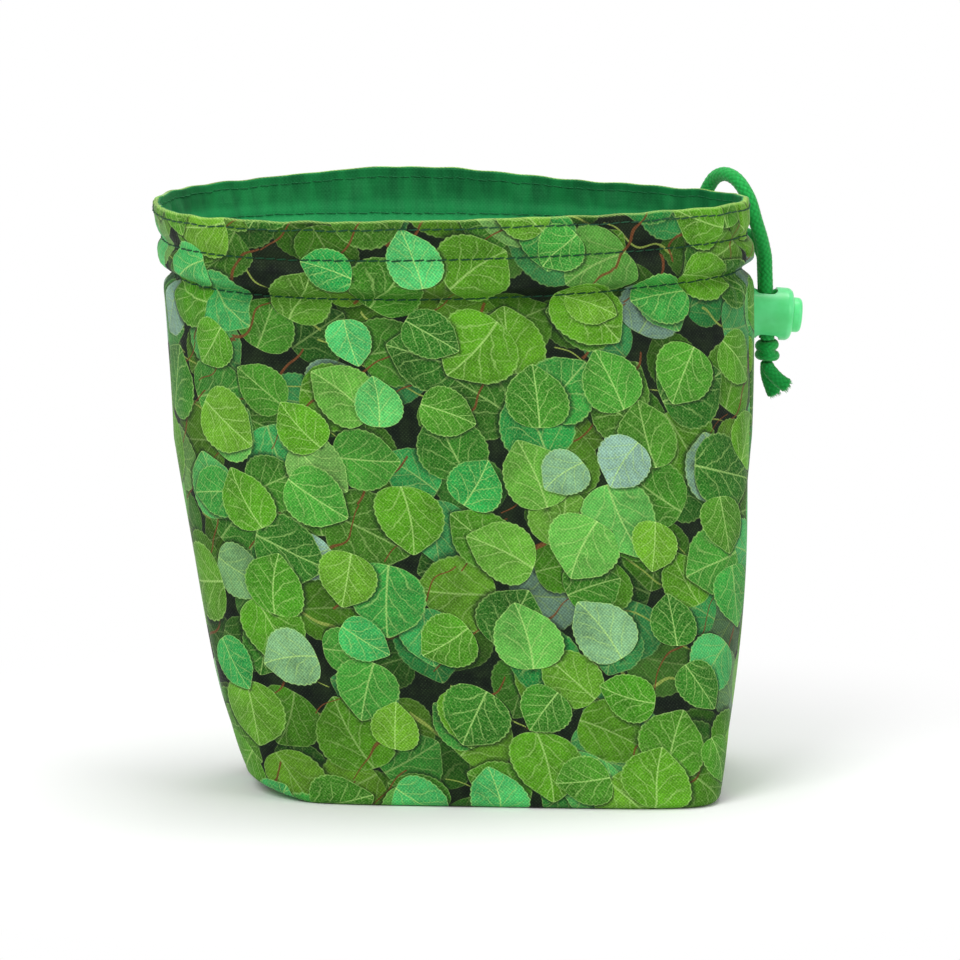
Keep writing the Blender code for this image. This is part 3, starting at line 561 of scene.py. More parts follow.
# %% [markdown]
# ## Cloth panels
# Each cloth has a front and a back panel, which meet in the two side seams and in a seam along the
# base. A panel is one grid: its rows run from the base's seam out to the base's edge, round it, up
# the wall, over the rim in a half round and a little way down inside. Solidify then gives the open
# sheet its thickness. The print is drawn in flat-cloth metres, so the UV map unrolls the cloth: the
# distance from the panel's middle line across, and the distance along the grid's rows upward.

# %% Panel grids
PRINT_SHEET = 0.00032
LINING_SHEET = 0.00034
ROLL = 0.00095
ROLL_TURN = math.radians(125)
SEAM_HALF = 0.00002
SEAM_CROWDING = 0.45
SEAM_DIPS = ((0.00055, 0.0006), (0.00035, 0.0028))
LINING_SEAM_ASIDE = 0.0008
BASE_STEPS, EDGE_STEPS, ROLL_STEPS = 10, 7, 10
BASE_MIDDLE_WIDTH = 0.8
BASE_EDGE_ROW = round(BASE_EDGE_RADIUS / HEIGHT * TABLE_ROWS)
BACK_CUT_FROM = 0.37
RIM_TOP = HEIGHT
CURL_RISE, CURL_REACH, CURL_FADE, CURL_POWER = 0.0037, 0.0153, 0.030, 1.1


def panel_columns(side, count):
    """Shares across one panel, closer together at its two seams."""
    t = np.linspace(0, 1, count)
    half = SEAM_HALF / MOUTH_LENGTH
    across = (t - SEAM_CROWDING * np.sin(2 * math.pi * t) / (2 * math.pi)) / 2
    across = half + across * (0.5 - 2 * half) / 0.5
    return across if side > 0 else across + 0.5


def seam_dip(share, z):
    """Cloth turns in at a side seam: a narrow groove along both ends of a panel."""
    away = np.minimum(np.mod(share, 0.5), 0.5 - np.mod(share, 0.5)) * MOUTH_LENGTH
    return -sum(depth * bump(away, 0, reach) for depth, reach in SEAM_DIPS)


def base_grid(side, share, inner):
    """Rows over the base's half and round its edge; inner is how far the face lies inside it."""
    foot, facing = on_form(share, BASE_EDGE_RADIUS, -BASE_EDGE_RADIUS)
    middle = foot[:, 0].mean()
    part = (np.arange(BASE_STEPS) / BASE_STEPS)[:, None]
    flat = np.stack(np.broadcast_arrays(
        middle + (foot[:, 0] - middle) * (BASE_MIDDLE_WIDTH + (1 - BASE_MIDDLE_WIDTH) * part),
        side * SEAM_HALF + (foot[:, 1] - side * SEAM_HALF) * part,
        inner,
    ), axis=-1)
    angle = (np.arange(EDGE_STEPS) / EDGE_STEPS * math.pi / 2)[:, None, None]
    edge = foot + facing * (BASE_EDGE_RADIUS - inner) * np.sin(angle)
    edge[..., 2] = BASE_EDGE_RADIUS - (BASE_EDGE_RADIUS - inner) * np.cos(angle[..., 0])
    return np.concatenate([flat, edge]), facing


def curled(points):
    """How far points rise with the base's left end, less and less up the wall."""
    start = BASE_SHIFT - BASE[0] / 2 + CURL_REACH - CENTRE_SHIFT
    curl = np.clip((start - points[..., 0]) / CURL_REACH, 0, 1) ** CURL_POWER
    return CURL_RISE * curl * np.clip(1 - points[..., 2] / CURL_FADE, 0, 1)


def panel_grid(side, columns, share, z, out, inner, crown=-1):
    """The whole grid and its UV, from wall rows given as full arrays of share, height and offset.

    The wall row that is named as the crown gets the height RIM_TOP in the UV map, and the back panel
    is cut from another stretch of the cloth.
    """
    wall, _ = on_form(share, z, out)
    below, _ = base_grid(side, columns, inner)
    grid = np.concatenate([below, wall])
    length = np.interp(z[:, 0].clip(0, HEIGHT), table_z, LOOP_LENGTH)
    middle = 0.25 if side > 0 else 0.75
    cut_from = BACK_CUT_FROM if side > 0 else 0.0
    across = (share - middle) * length[:, None] + cut_from
    under = (columns - middle)[None, :] * np.full((len(below), 1), LOOP_LENGTH[BASE_EDGE_ROW]) + cut_from
    steps_up = np.linalg.norm(np.diff(grid, axis=0), axis=2).mean(axis=1)
    rows = np.concatenate([[0], np.cumsum(steps_up)])
    up = np.broadcast_to((rows - rows[len(below):][crown] + RIM_TOP)[:, None], grid.shape[:2])
    grid[..., 2] += curled(grid)
    return grid, np.stack([np.concatenate([under, across]), up], axis=-1)


def thicken(panel, thickness):
    """Gives an open sheet its thickness, on its inner side."""
    sheet = panel.modifiers.new("thickness", "SOLIDIFY")
    sheet.thickness, sheet.offset = thickness, -1.0


def wall_rows(top, step, fine):
    """Heights of the rows up the wall, closer together in the band with the channel."""
    start = CHANNEL_ROWS[0] - 0.006
    body = np.arange(BASE_EDGE_RADIUS, start, step)
    return np.concatenate([body, np.linspace(start, top, round((top - start) / fine))])


print("columns across a panel at its middle:", round(MOUTH_LENGTH / 2 / 0.001))

# %% [markdown]
# ### The printed cloth and its two eyelets
# At the rim the printed cloth rolls over the edge and ends just inside it, where it is sewn to the
# lining. The two eyelets are openings in the back panel. The grid's points near an eyelet's oval
# edge are moved onto it before the faces inside are left out, so that the opening is smooth.

# %% Printed panels
EYELET_ARCS = {"a": 0.038, "b": 0.015}
EYELET_HALF = (0.0053, 0.0029)
MOVED_TO_OVAL = (0.80, 1.20)
PRINT_COLUMNS, PRINT_STEPS = 216, (0.00115, 0.00048)


def oval_distance(share, z, arc):
    """1 on an eyelet's oval, less inside it and more outside it, with the two local distances."""
    across, up = (share - arc_share(arc)) * MOUTH_LENGTH, z - CHANNEL_MIDDLE
    return np.hypot(across / EYELET_HALF[0], up / EYELET_HALF[1]), across, up


def fit_to_ovals(share, z):
    """Moves points near each oval onto it, and marks those inside."""
    inside = np.zeros(share.shape, bool)
    for arc in EYELET_ARCS.values():
        ratio, across, up = oval_distance(share, z, arc)
        near = (ratio > MOVED_TO_OVAL[0]) & (ratio < MOVED_TO_OVAL[1])
        divisor = np.maximum(ratio, MOVED_TO_OVAL[0])
        share = np.where(near, arc_share(arc) + across / divisor / MOUTH_LENGTH, share)
        z = np.where(near, CHANNEL_MIDDLE + up / divisor, z)
        inside |= ratio <= MOVED_TO_OVAL[0]
    return share, z, inside


def printed_panel(name, side):
    """The wall and most of a half round of radius ROLL over the rim."""
    columns = panel_columns(side, PRINT_COLUMNS)
    wall = wall_rows(HEIGHT - ROLL, *PRINT_STEPS)
    over = np.linspace(0, ROLL_TURN, ROLL_STEPS + 1)[1:]
    heights = np.concatenate([wall, HEIGHT - ROLL + ROLL * np.sin(over)])
    inward = np.concatenate([wall * 0, ROLL * (1 - np.cos(over))])
    share, z = np.meshgrid(columns, heights)
    if side > 0:
        share, z, inside = fit_to_ovals(share, z)
    out = print_face(share, np.minimum(z, HEIGHT)) + seam_dip(share, z) - inward[:, None]
    crown = len(wall) + int(np.argmax(np.sin(over)))
    grid, uv = panel_grid(side, columns, share, z, out, 0.0, crown)
    faces = grid_faces(*grid.shape[:2])
    if side > 0:
        rows_below = ((len(grid) - len(z), 0), (0, 0))
        gone = np.pad(inside, rows_below).ravel()
        ratio = np.min([oval_distance(share, z, arc)[0] for arc in EYELET_ARCS.values()], axis=0)
        ratio = np.pad(ratio, rows_below, constant_values=np.inf).ravel()
        faces = faces[~gone[faces].any(axis=1) & (ratio[faces].max(axis=1) >= 1.001)]
    panel = put_mesh(name, grid, faces, uv)
    thicken(panel, PRINT_SHEET)
    return panel


print_front = printed_panel("printed_front", -1)
print_back = printed_panel("printed_back", 1)
print("printed panel:", len(print_front.data.polygons), "faces")

# %% [markdown]
# ### The lining
# The lining hangs just inside the printed cloth and bulges inward over the cord, because the printed
# cloth is the stiffer of the two. It is a little too big, as linings are, so it has its own shallow
# folds that only go inward, and it puckers between the two rows of the channel. Its material paints
# it paler from just above the channel's upper row down, as painted light on the bulge over the cord,
# and leaves the band under the rim darker, as painted shade.
# Its side seams are a little aside of the printed cloth's, so that no light comes through both.

# %% Lining panels
LINING_GAP, LINING_BULGE = 0.00145, 0.0049
LINING_FOLDS = ((21, 14, (9, 30), 50, 0.00090), (22, 12, (30, 64), 20, 0.00052))
LINING_PUCKERS = (23, 16, (22, 60), 0, 0.00085)
LINING_HELD, LINING_HELD_REACH, LINING_FREE_BELOW = 0.25, 0.003, 0.004
LINING_DIP = 0.4
LINING_COLUMNS, LINING_STEPS = 190, (0.0013, 0.00052)
LINING_TOP = HEIGHT - 0.00012


def lining_face(share, z):
    """The lining's outer face: inside the print, further in over the cord, with folds inward."""
    own = sum(waves(share, z, *each) for each in LINING_FOLDS)
    held = sum(LINING_HELD * bump(z, row, LINING_HELD_REACH) for row in CHANNEL_ROWS)
    loose = np.clip((EDGE_ROW - z) / LINING_FREE_BELOW, 0, 1) * (1 - held)
    pucker = waves(share, z, *LINING_PUCKERS) * channel_wave(z)
    inward = np.abs(own) * loose + np.abs(pucker)
    return relief(z) + folds(share, z) - LINING_GAP - LINING_BULGE * channel_wave(z) - inward


def lining_outside(share, z):
    """The lining's outer face, with its side seams."""
    return lining_face(share, z) + LINING_DIP * seam_dip(share - LINING_SEAM_ASIDE / MOUTH_LENGTH, z)


def lining_inside(share, z):
    """The lining's inner face."""
    return lining_outside(share, z) - LINING_SHEET


def lining_panel(name, side):
    """The wall up to just under the rim's roll."""
    columns = panel_columns(side, LINING_COLUMNS) + LINING_SEAM_ASIDE / MOUTH_LENGTH
    share, z = np.meshgrid(columns, wall_rows(LINING_TOP, *LINING_STEPS))
    grid, uv = panel_grid(side, columns, share, z, lining_outside(share, z), LINING_GAP)
    panel = put_mesh(name, grid, grid_faces(*grid.shape[:2]), uv)
    thicken(panel, LINING_SHEET)
    return panel


lining_front = lining_panel("lining_front", -1)
lining_back = lining_panel("lining_back", 1)
print("lining panel:", len(lining_front.data.polygons), "faces")

# %% [markdown]
# ## Stitches
# A row of lockstitch shows as short threads that come up out of the cloth, lie on it and go back in.
# Each is a small bent tube whose ends are under the cloth's face. All of a row's stitches are one
# array with an entry for each stitch, each step along it and each point round it. The eyelets are
# edged with satin stitches, which lie side by side across the oval's edge and dip into the hole.

# %% Rows of stitches
STITCH_PITCH = 0.0031
STITCH_LENGTH = 0.0030
THREAD, INNER_THREAD = 0.00042, 0.00030
THREAD_SIDES, THREAD_STEPS = 7, 9
STITCH_LIFT, STITCH_DIVE, STITCH_NARROWING = 0.40, 0.95, 0.2
STITCH_SLANT = 0.00010
JITTER_ALONG, JITTER_UP = 0.00006, 0.00005
OUTER_SEED, INNER_SEED = 30, 40


def thread_tubes(name, middle, facing, along, radius):
    """Tubes from arrays of middles, outward and lengthwise directions, and radii along them."""
    turn = np.arange(THREAD_SIDES) * 2 * math.pi / THREAD_SIDES
    across = np.cross(along, facing)
    ring = np.cos(turn)[:, None] * facing[..., None, :] + np.sin(turn)[:, None] * across[..., None, :]
    points = middle[..., None, :] + radius[..., None, None] * ring
    count, rings = middle.shape[:2]
    one = grid_faces(rings, THREAD_SIDES, False, True)
    size = rings * THREAD_SIDES
    faces = (one[None] + size * np.arange(count)[:, None, None]).reshape(-1, 4)
    length = np.linalg.norm(np.diff(middle, axis=1), axis=2).cumsum(axis=1)
    length = np.concatenate([np.zeros((count, 1)), length], axis=1)
    uv = np.stack(np.broadcast_arrays(turn * THREAD / 2, length[..., None]), axis=-1)
    loop = list(range(THREAD_SIDES))
    caps = [[k * size + i for i in reversed(loop)] for k in range(count)]
    caps += [[(k + 1) * size - THREAD_SIDES + i for i in loop] for k in range(count)]
    return put_mesh(name, points, faces, uv, None, caps)


def stitch_row(name, height, face, side, seed, thickness=THREAD):
    """Stitches round the pouch at a height, on a face given as a function, outward or inward."""
    random = np.random.default_rng(seed)
    count = round(float(np.interp(height, table_z, LOOP_LENGTH)) / STITCH_PITCH)
    t = np.linspace(-1, 1, THREAD_STEPS)[None, :]
    middle = (np.arange(count) / count)[:, None] + random.normal(0, JITTER_ALONG, (count, 1)) / MOUTH_LENGTH
    share = middle + t * STITCH_LENGTH / 2 / MOUTH_LENGTH
    slant = STITCH_SLANT * t + random.normal(0, JITTER_UP, (count, 1))
    z = height + slant
    lift = thickness * (STITCH_LIFT - STITCH_DIVE * t**6)
    points, facing = on_form(share, z, face(share, z) + side * lift)
    along = unit(np.gradient(points, axis=1))
    radius = np.broadcast_to(thickness / 2 * (1 - STITCH_NARROWING * t**2), share.shape)
    return thread_tubes(name, points, facing * side, along * side, radius)


def print_outside(share, z):
    """The printed cloth's outer face, with its side seams."""
    return print_face(share, z) + seam_dip(share, z)


rows = {"rim": EDGE_ROW, "upper": CHANNEL_ROWS[1], "lower": CHANNEL_ROWS[0]}
outer_rows = {
    key: stitch_row(key + "_row_stitches", height, print_outside, 1, OUTER_SEED + i)
    for i, (key, height) in enumerate(rows.items())
}
inner_rows = {
    key: stitch_row(key + "_row_inside", height, lining_inside, -1, INNER_SEED + i, INNER_THREAD)
    for i, (key, height) in enumerate(rows.items())
}
print("stitches in the lower row:", len(outer_rows["lower"].data.vertices) // (THREAD_STEPS * THREAD_SIDES))

# %% Eyelet edges
SATIN_STITCHES = 76
SATIN_WIDTH, SATIN_RAGGED, SATIN_IN_HOLE = 0.00125, 0.06, 0.00012
SATIN_ARCH, SATIN_SUNK, SATIN_DIVE = 0.00046, 0.00020, 0.0003
SATIN_RADIUS, SATIN_NARROWING = 0.00023, 0.35


def satin_edge(name, arc, seed):
    """Threads across an oval's edge: out of the hole, over its rim and into the cloth outside."""
    random = np.random.default_rng(seed)
    turn = (np.arange(SATIN_STITCHES) / SATIN_STITCHES * 2 * math.pi)[:, None]
    t = np.linspace(0, 1, THREAD_STEPS)[None, :]
    reach = SATIN_WIDTH * (1 + random.normal(0, SATIN_RAGGED, (SATIN_STITCHES, 1)))
    across = (EYELET_HALF[0] - SATIN_IN_HOLE + reach * t) * np.cos(turn)
    up = (EYELET_HALF[1] - SATIN_IN_HOLE + reach * t) * np.sin(turn)
    share, z = arc_share(arc) + across / MOUTH_LENGTH, CHANNEL_MIDDLE + up
    arch = SATIN_ARCH * np.sin(math.pi * (t * 0.94 + 0.03)) ** 0.55
    lift = arch - SATIN_SUNK - SATIN_DIVE * (1 - t) ** 6
    points, facing = on_form(share, z, print_face(share, z) + lift)
    along = unit(np.gradient(points, axis=1))
    outward = unit(facing - along * (facing * along).sum(axis=-1, keepdims=True))
    radius = np.broadcast_to(SATIN_RADIUS * (1 - SATIN_NARROWING * (2 * t - 1) ** 6), share.shape)
    return thread_tubes(name, points, outward, along, radius)


eyelet_a, eyelet_b = (
    satin_edge(f"eyelet_{key}_stitches", EYELET_ARCS[key], seed) for key, seed in (("a", 51), ("b", 52))
)
print("eyelets edged with", SATIN_STITCHES, "stitches each")

# %% [markdown]
# ## The cord in the channel
# Between the eyelets the cord lies in the channel, all the way round by the front and the left end.
# At each eyelet it turns outward in a parabola and runs a little way into the free strand, so that
# both look like the one cord that they are.

# %% Held cord
TURN_LENGTH = 0.0072
CORD_LEAD = 0.0008
CORD_DEPTH = 0.0035
CORD_OVERLAP = 0.0007
runs = np.linspace(-TURN_LENGTH, 0.2 * TURN_LENGTH + CORD_OVERLAP, 30)
rise = CORD_DEPTH / TURN_LENGTH**2 * (runs + TURN_LENGTH) ** 2 - CORD_DEPTH
arc_b, arc_a = EYELET_ARCS["b"] + runs + CORD_LEAD, EYELET_ARCS["a"] - runs - CORD_LEAD
between = np.linspace(arc_b[0], arc_a[0] - MOUTH_LENGTH, 700)[1:-1]
arcs = np.concatenate([arc_b[::-1], between, arc_a])
depths = np.concatenate([rise[::-1], between * 0 - CORD_DEPTH, rise])
held_line, _ = on_form(arc_share(arcs), CHANNEL_MIDDLE, relief(CHANNEL_MIDDLE) + depths)
held_cord = join_parts("cord_in_channel", [braid_parts(even_line(held_line, 0.0005), CORD / 2, 28)])
print("held cord is", round(line_length(held_line)[-1] * 1000, 1), "mm long")

# %% [markdown]
# ## The cord lock
# The lock is a moulded barrel with a spring-loaded plunger in it and one hole across both for the
# two strands. Both bodies are turned shapes: an outline of radius against distance along the axis,
# carried once round it. The hole is then cut with a rounded bar that lies along the strands.

# %% Turned bodies with a cord hole
LOCK_CENTRE = Vector((0.0872162, 0.0244441, 0.1251176))
LOCK_AXIS = Vector((0.9961947, 0.0, -0.0871557))
HOLE_HALF = (0.003205, 0.00445)
HOLE_ROUNDING, HOLE_BAR_HALF = 0.0018, 0.0145
LOCK_SEGMENTS = 112
SHARP_ANGLE = math.radians(35)


def arc_points(corner, radius, start, end, count):
    """A quarter round about a point of the outline, from one angle to another in degrees."""
    angle = np.radians(np.linspace(start, end, count))
    return np.stack([corner[0] + radius * np.cos(angle), corner[1] + radius * np.sin(angle)], axis=1)


def turned_body(name, outline, backwards=False):
    """The surface (r cos a, r sin a, l) for each (r, l) of the outline, laid along the lock's axis.

    The outline runs so that the solid lies on its left, from the far end of the axis to the near one.
    """
    outline = np.concatenate([np.atleast_2d(p) for p in outline])[::-1 if backwards else 1]
    angle = np.arange(LOCK_SEGMENTS) * 2 * math.pi / LOCK_SEGMENTS
    ring = np.stack([np.cos(angle), np.sin(angle)], axis=-1)
    r, along = outline[1:-1, 0], outline[1:-1, 1]
    x, y = (r[:, None] * ring[None, :, k] for k in (0, 1))
    grid = np.stack([x, y, np.broadcast_to(along[:, None], x.shape)], axis=-1).reshape(-1, 3)
    poles = np.array([[0, 0, outline[0, 1]], [0, 0, outline[-1, 1]]])
    local = np.concatenate([grid, poles])
    axis = np.array(LOCK_AXIS)
    frame_x = np.cross((0.0, 1.0, 0.0), axis)
    world = np.array(LOCK_CENTRE) + local[:, :1] * frame_x
    world = world + local[:, 1:2] * ACROSS_CORDS + local[:, 2:] * axis
    faces = grid_faces(len(r), LOCK_SEGMENTS, False, True)
    first, last = len(grid), len(grid) + 1
    j = np.arange(LOCK_SEGMENTS)
    k = (j + 1) % LOCK_SEGMENTS
    top = (len(r) - 1) * LOCK_SEGMENTS
    fans = np.stack([j * 0 + first, k, j], axis=1).tolist()
    fans += np.stack([top + j, top + k, j * 0 + last], axis=1).tolist()
    return put_mesh(name, world, faces, None, None, fans)


def bore(thing, start, end):
    """Cuts the cord hole with a stadium-shaped bar from start to end along the axis."""
    half, width, edge = (end - start) / 2, HOLE_HALF[1], HOLE_ROUNDING
    right = np.concatenate([
        arc_points((half - edge, width - edge), edge, 90, 0, 6),
        arc_points((half - edge, -width + edge), edge, 0, -90, 6),
    ])
    outline = np.concatenate([right, -right])
    middle = LOCK_CENTRE + LOCK_AXIS * (start + end) / 2
    across, up = Vector(KNOT_ACROSS), Vector(SLIDE_AXIS)
    lay = np.array([list(across), [0, 1, 0]])
    flat = outline @ lay
    points = np.concatenate([flat + np.array(middle + up * h) for h in (-HOLE_BAR_HALF, HOLE_BAR_HALF)])
    n = len(outline)
    faces = [[i, i + n, (i + 1) % n + n, (i + 1) % n] for i in range(n)]
    faces += [list(range(n)), list(range(n, 2 * n))[::-1]]
    bar = put_mesh("hole_bar", points, [], more_faces=faces)
    cutting = thing.modifiers.new("cord_hole", "BOOLEAN")
    cutting.object = bar
    cutting.solver = "EXACT"
    bake_modifiers(thing)
    bpy.data.objects.remove(bar)


def bake_modifiers(thing):
    """Makes a piece's modifiers part of its mesh."""
    ready = bpy.data.meshes.new_from_object(thing.evaluated_get(bpy.context.evaluated_depsgraph_get()))
    thing.modifiers.clear()
    thing.data = ready
    ready.shade_smooth()
    ready.set_sharp_from_angle(angle=SHARP_ANGLE)


# %% Barrel and plunger
BACK, FLOOR, INNER = -0.011205, -0.009805, -0.004005
SHOULDER, END, HEAD_END = 0.006005, 0.007105, 0.009705
OUTER, BORE, LIP, PLAY = 0.00725, 0.0059, 0.0051, 0.0003
FRONT_ROUND, BACK_ROUND, HEAD_ROUND = 0.0018, 0.0022, 0.0012
LIP_THICKNESS, CHAMFER, BAND_HALF = 0.0008, 0.0002, 0.002
PRESS = 0.002
barrel = turned_body("lock_barrel", [
    (0, FLOOR), (BORE - 2 * CHAMFER, FLOOR), (BORE, FLOOR + 2 * CHAMFER),
    (BORE, END - LIP_THICKNESS), (LIP, END - LIP_THICKNESS), (LIP, END - CHAMFER), (LIP + CHAMFER, END),
    arc_points((OUTER - FRONT_ROUND, END - FRONT_ROUND), FRONT_ROUND, 90, 0, 14),
    (OUTER, BAND_HALF), (OUTER, -BAND_HALF),
    arc_points((OUTER - BACK_ROUND, BACK + BACK_ROUND), BACK_ROUND, 0, -90, 14), (0, BACK),
], backwards=True)
bore(barrel, -HOLE_HALF[0], HOLE_HALF[0])
body, neck = BORE - PLAY, LIP - PLAY
plunger = turned_body("lock_plunger", [
    (0, INNER), (body - CHAMFER, INNER), (body, INNER + CHAMFER), (body, SHOULDER),
    (neck, SHOULDER), (neck, END + CHAMFER),
    arc_points((neck - HEAD_ROUND, HEAD_END - HEAD_ROUND), HEAD_ROUND, 0, 90, 12),
    (0.0026, HEAD_END - 0.00005), (0, HEAD_END - 0.00016),
])
bore(plunger, -HOLE_HALF[0], HOLE_HALF[0] + PRESS)
print("barrel", len(barrel.data.polygons), "faces, plunger", len(plunger.data.polygons))

# %% [markdown]
# ## Materials
# Each finish is a node tree. The print needs many small sums, so a helper class lets a node value be
# added and multiplied like a number, and every such step becomes a Math node.

# %% Node values as numbers
class Wire:
    """A node's output that can be used in sums."""

    def __init__(self, tree, socket):
        self.tree, self.socket = tree, socket

    def math(self, operation, *others, clamp=False):
        node = self.tree.nodes.new("ShaderNodeMath")
        node.operation, node.use_clamp = operation, clamp
        for value, target in zip((self, *others), node.inputs):
            plug(self.tree, value, target)
        return Wire(self.tree, node.outputs[0])

    def __add__(self, other):
        return self.math("ADD", other)

    def __sub__(self, other):
        return self.math("SUBTRACT", other)

    def __mul__(self, other):
        return self.math("MULTIPLY", other)

    def __truediv__(self, other):
        return self.math("DIVIDE", other)

    def __pow__(self, other):
        return self.math("POWER", other)

    def minus_from(self, number):
        """number - value"""
        return self * -1.0 + number

    def ramp(self, low, high):
        """0 below low, 1 above high, and a smooth step between them."""
        node = self.tree.nodes.new("ShaderNodeMapRange")
        node.interpolation_type = "SMOOTHSTEP"
        plug(self.tree, self, node.inputs["Value"])
        node.inputs["From Min"].default_value, node.inputs["From Max"].default_value = low, high
        return Wire(self.tree, node.outputs["Result"])


def plug(tree, value, target):
    """Gives an input socket a number, a colour or a node's output."""
    if isinstance(value, Wire):
        tree.links.new(value.socket, target)
    elif isinstance(value, bpy.types.NodeSocket):
        tree.links.new(value, target)
    elif isinstance(value, (tuple, list)) and len(target.default_value) == 4:
        target.default_value = (*value[:3], 1.0)
    else:
        target.default_value = value


def node(tree, kind, output=0, settings=None, **inputs):
    """A node with its settings and inputs, whose spaces in names are written as underscores."""
    made = tree.nodes.new(kind)
    for key, value in (settings or {}).items():
        setattr(made, key, value)
    for key, value in inputs.items():
        plug(tree, value, made.inputs[key.replace("_", " ")])
    return Wire(tree, made.outputs[output])


def noise(tree, where, scale, detail):
    """Soft noise at a place, around 0.5."""
    return node(tree, "ShaderNodeTexNoise", Vector=where, Scale=scale, Detail=detail)


def mix(tree, share, first, second, blend="MIX"):
    """One colour laid over another by a share."""
    made = tree.nodes.new("ShaderNodeMix")
    made.data_type, made.blend_type, made.clamp_factor = "RGBA", blend, True
    plug(tree, share, made.inputs[0])
    plug(tree, first, made.inputs[6])
    plug(tree, second, made.inputs[7])
    return Wire(tree, made.outputs[2])


def times(tree, colour, level):
    """A colour with each channel multiplied by one number."""
    grey = node(tree, "ShaderNodeCombineColor", Red=level, Green=level, Blue=level)
    return mix(tree, 1.0, colour, grey, "MULTIPLY")


def palette(tree, where, stops):
    """A Color Ramp with (place, colour) stops."""
    made = tree.nodes.new("ShaderNodeValToRGB")
    ramp = made.color_ramp
    while len(ramp.elements) < len(stops):
        ramp.elements.new(0.5)
    for element, (place, colour) in zip(ramp.elements, stops):
        element.position, element.color = place, (*colour, 1.0)
    plug(tree, where, made.inputs[0])
    return Wire(tree, made.outputs[0])


def green(red, green_part, blue):
    """A colour given as screen values from 0 to 255, made linear for the shader."""
    c = np.array((red, green_part, blue)) / 255
    return tuple(float(v) for v in np.where(c <= 0.04045, c / 12.92, ((c + 0.055) / 1.055) ** 2.4))


def new_material(name, roughness, **settings):
    """A material with its tree, its shader and constants set on the shader's own sockets."""
    made = bpy.data.materials.new(name)
    made.use_nodes = True
    shader = made.node_tree.nodes["Principled BSDF"]
    shader.inputs["Roughness"].default_value = roughness
    for key, value in settings.items():
        plug(made.node_tree, value, shader.inputs[key.replace("_", " ")])
    return made, made.node_tree, shader


def add_bump(tree, shader, height, distance, strength=1.0):
    """Real relief of a given depth in metres, as a bump on the shader's normal."""
    made = tree.nodes.new("ShaderNodeBump")
    made.inputs["Strength"].default_value, made.inputs["Distance"].default_value = strength, distance
    plug(tree, height, made.inputs["Height"])
    tree.links.new(made.outputs["Normal"], shader.inputs["Normal"])


def finish_with(tree, shader, colour, roughness, height, depth, strength=1.0):
    """Puts a colour, a roughness and a relief on a shader."""
    plug(tree, colour, shader.inputs["Base Color"])
    plug(tree, roughness, shader.inputs["Roughness"])
    add_bump(tree, shader, height, depth, strength)


def cloth_place(tree):
    """The flat-cloth coordinates of a piece, across and up, in metres."""
    uv = node(tree, "ShaderNodeUVMap", settings={"uv_map": "metres"})
    apart = tree.nodes.new("ShaderNodeSeparateXYZ")
    plug(tree, uv, apart.inputs[0])
    return uv, Wire(tree, apart.outputs[0]), Wire(tree, apart.outputs[1])


print("node helpers ready")

# %% [markdown]
# ### Plain weave
# Cotton of this weight has about 20 threads to the centimetre. Over and under alternate like a
# chessboard, so a thread's height is the product of a sine across and a sine upward. Slow noise
# makes some threads thicker, as in any real yarn.

# %% Weave
THREAD_SPACING, YARN_WOBBLE = 0.00050, 1.3


def weave(tree, uv, across, up):
    """0 to 1: high where a thread lies on top, with uneven yarn."""
    turn = math.pi / THREAD_SPACING
    wobble = (noise(tree, uv, 900.0, 2.0) - 0.5) * YARN_WOBBLE
    over = (across * turn + wobble).math("SINE") * (up * turn + wobble).math("SINE")
    return over * 0.5 + 0.5


def slubs(tree, uv, stretch):
    """Noise drawn out along one thread direction."""
    mapped = node(tree, "ShaderNodeMapping", Vector=uv, Scale=stretch)
    return node(tree, "ShaderNodeTexNoise", Vector=mapped, Scale=1.0, Detail=3.0, Roughness=0.6)


def yarns(tree, place, fine, coarse, woven_part, slub_part):
    """A cloth's height from its weave and the slubs of both directions, and the warp's slubs alone."""
    woven = weave(tree, *place)
    warp, weft = (slubs(tree, place[0], stretch) for stretch in ((fine, coarse, 1.0), (coarse, fine, 1.0)))
    return woven * woven_part + warp * slub_part + weft * slub_part, warp


# %% [markdown]
# ### The leaf print
# The cloth is closely printed with overlapping leaves on a dark ground. The pattern here is a
# generic one of the same scale and colours, drawn by arithmetic. One node group draws one layer:
# the cloth is divided into turned square cells, each with one leaf at a random place, size and
# angle, and the leaf's outline is a half width that depends on the distance from its base. The
# layers are laid over each other, each with a soft shadow on what is below, the lower ones darker.

# %% One layer of leaves
LEAF_TONES = (
    (0.00, green(60, 136, 20)), (0.14, green(90, 156, 24)), (0.28, green(44, 118, 28)),
    (0.40, green(108, 168, 38)), (0.52, green(36, 104, 24)), (0.62, green(70, 146, 36)),
    (0.72, green(34, 152, 68)), (0.82, green(76, 188, 104)), (0.91, green(100, 162, 40)),
    (0.98, green(136, 176, 158)),
)
VEIN_TONE = green(172, 214, 120)
SHADOW_TONE = green(14, 28, 16)
BARE_CELLS, CELL_SHIFT, SECOND_SEED = 0.27, (0.37, 0.61), 31.0
LEAST_HALF, HALF_RANGE, CELL_HALF = 0.31, 0.13, 0.48
LEAST_BREADTH, BREADTH_RANGE = 1.86, 0.24
BASE_POWER, TIP_POWER, TIP_SHARPER = 0.42, 0.66, 0.30
TEETH, TEETH_DEPTH = 30.0, 0.016
MIDRIB_HALF = 0.012
BRANCHES, BRANCH_SLANT, BRANCH_BEND = 3.7, 3.1, 1.5
BRANCH_LIGHT, TWIG_LIGHT, NET_LIGHT = 0.66, 0.34, 0.16
STEM_SPACING, STEM_LENGTH, BARE_STEMS = 0.0130, 0.021, 0.45


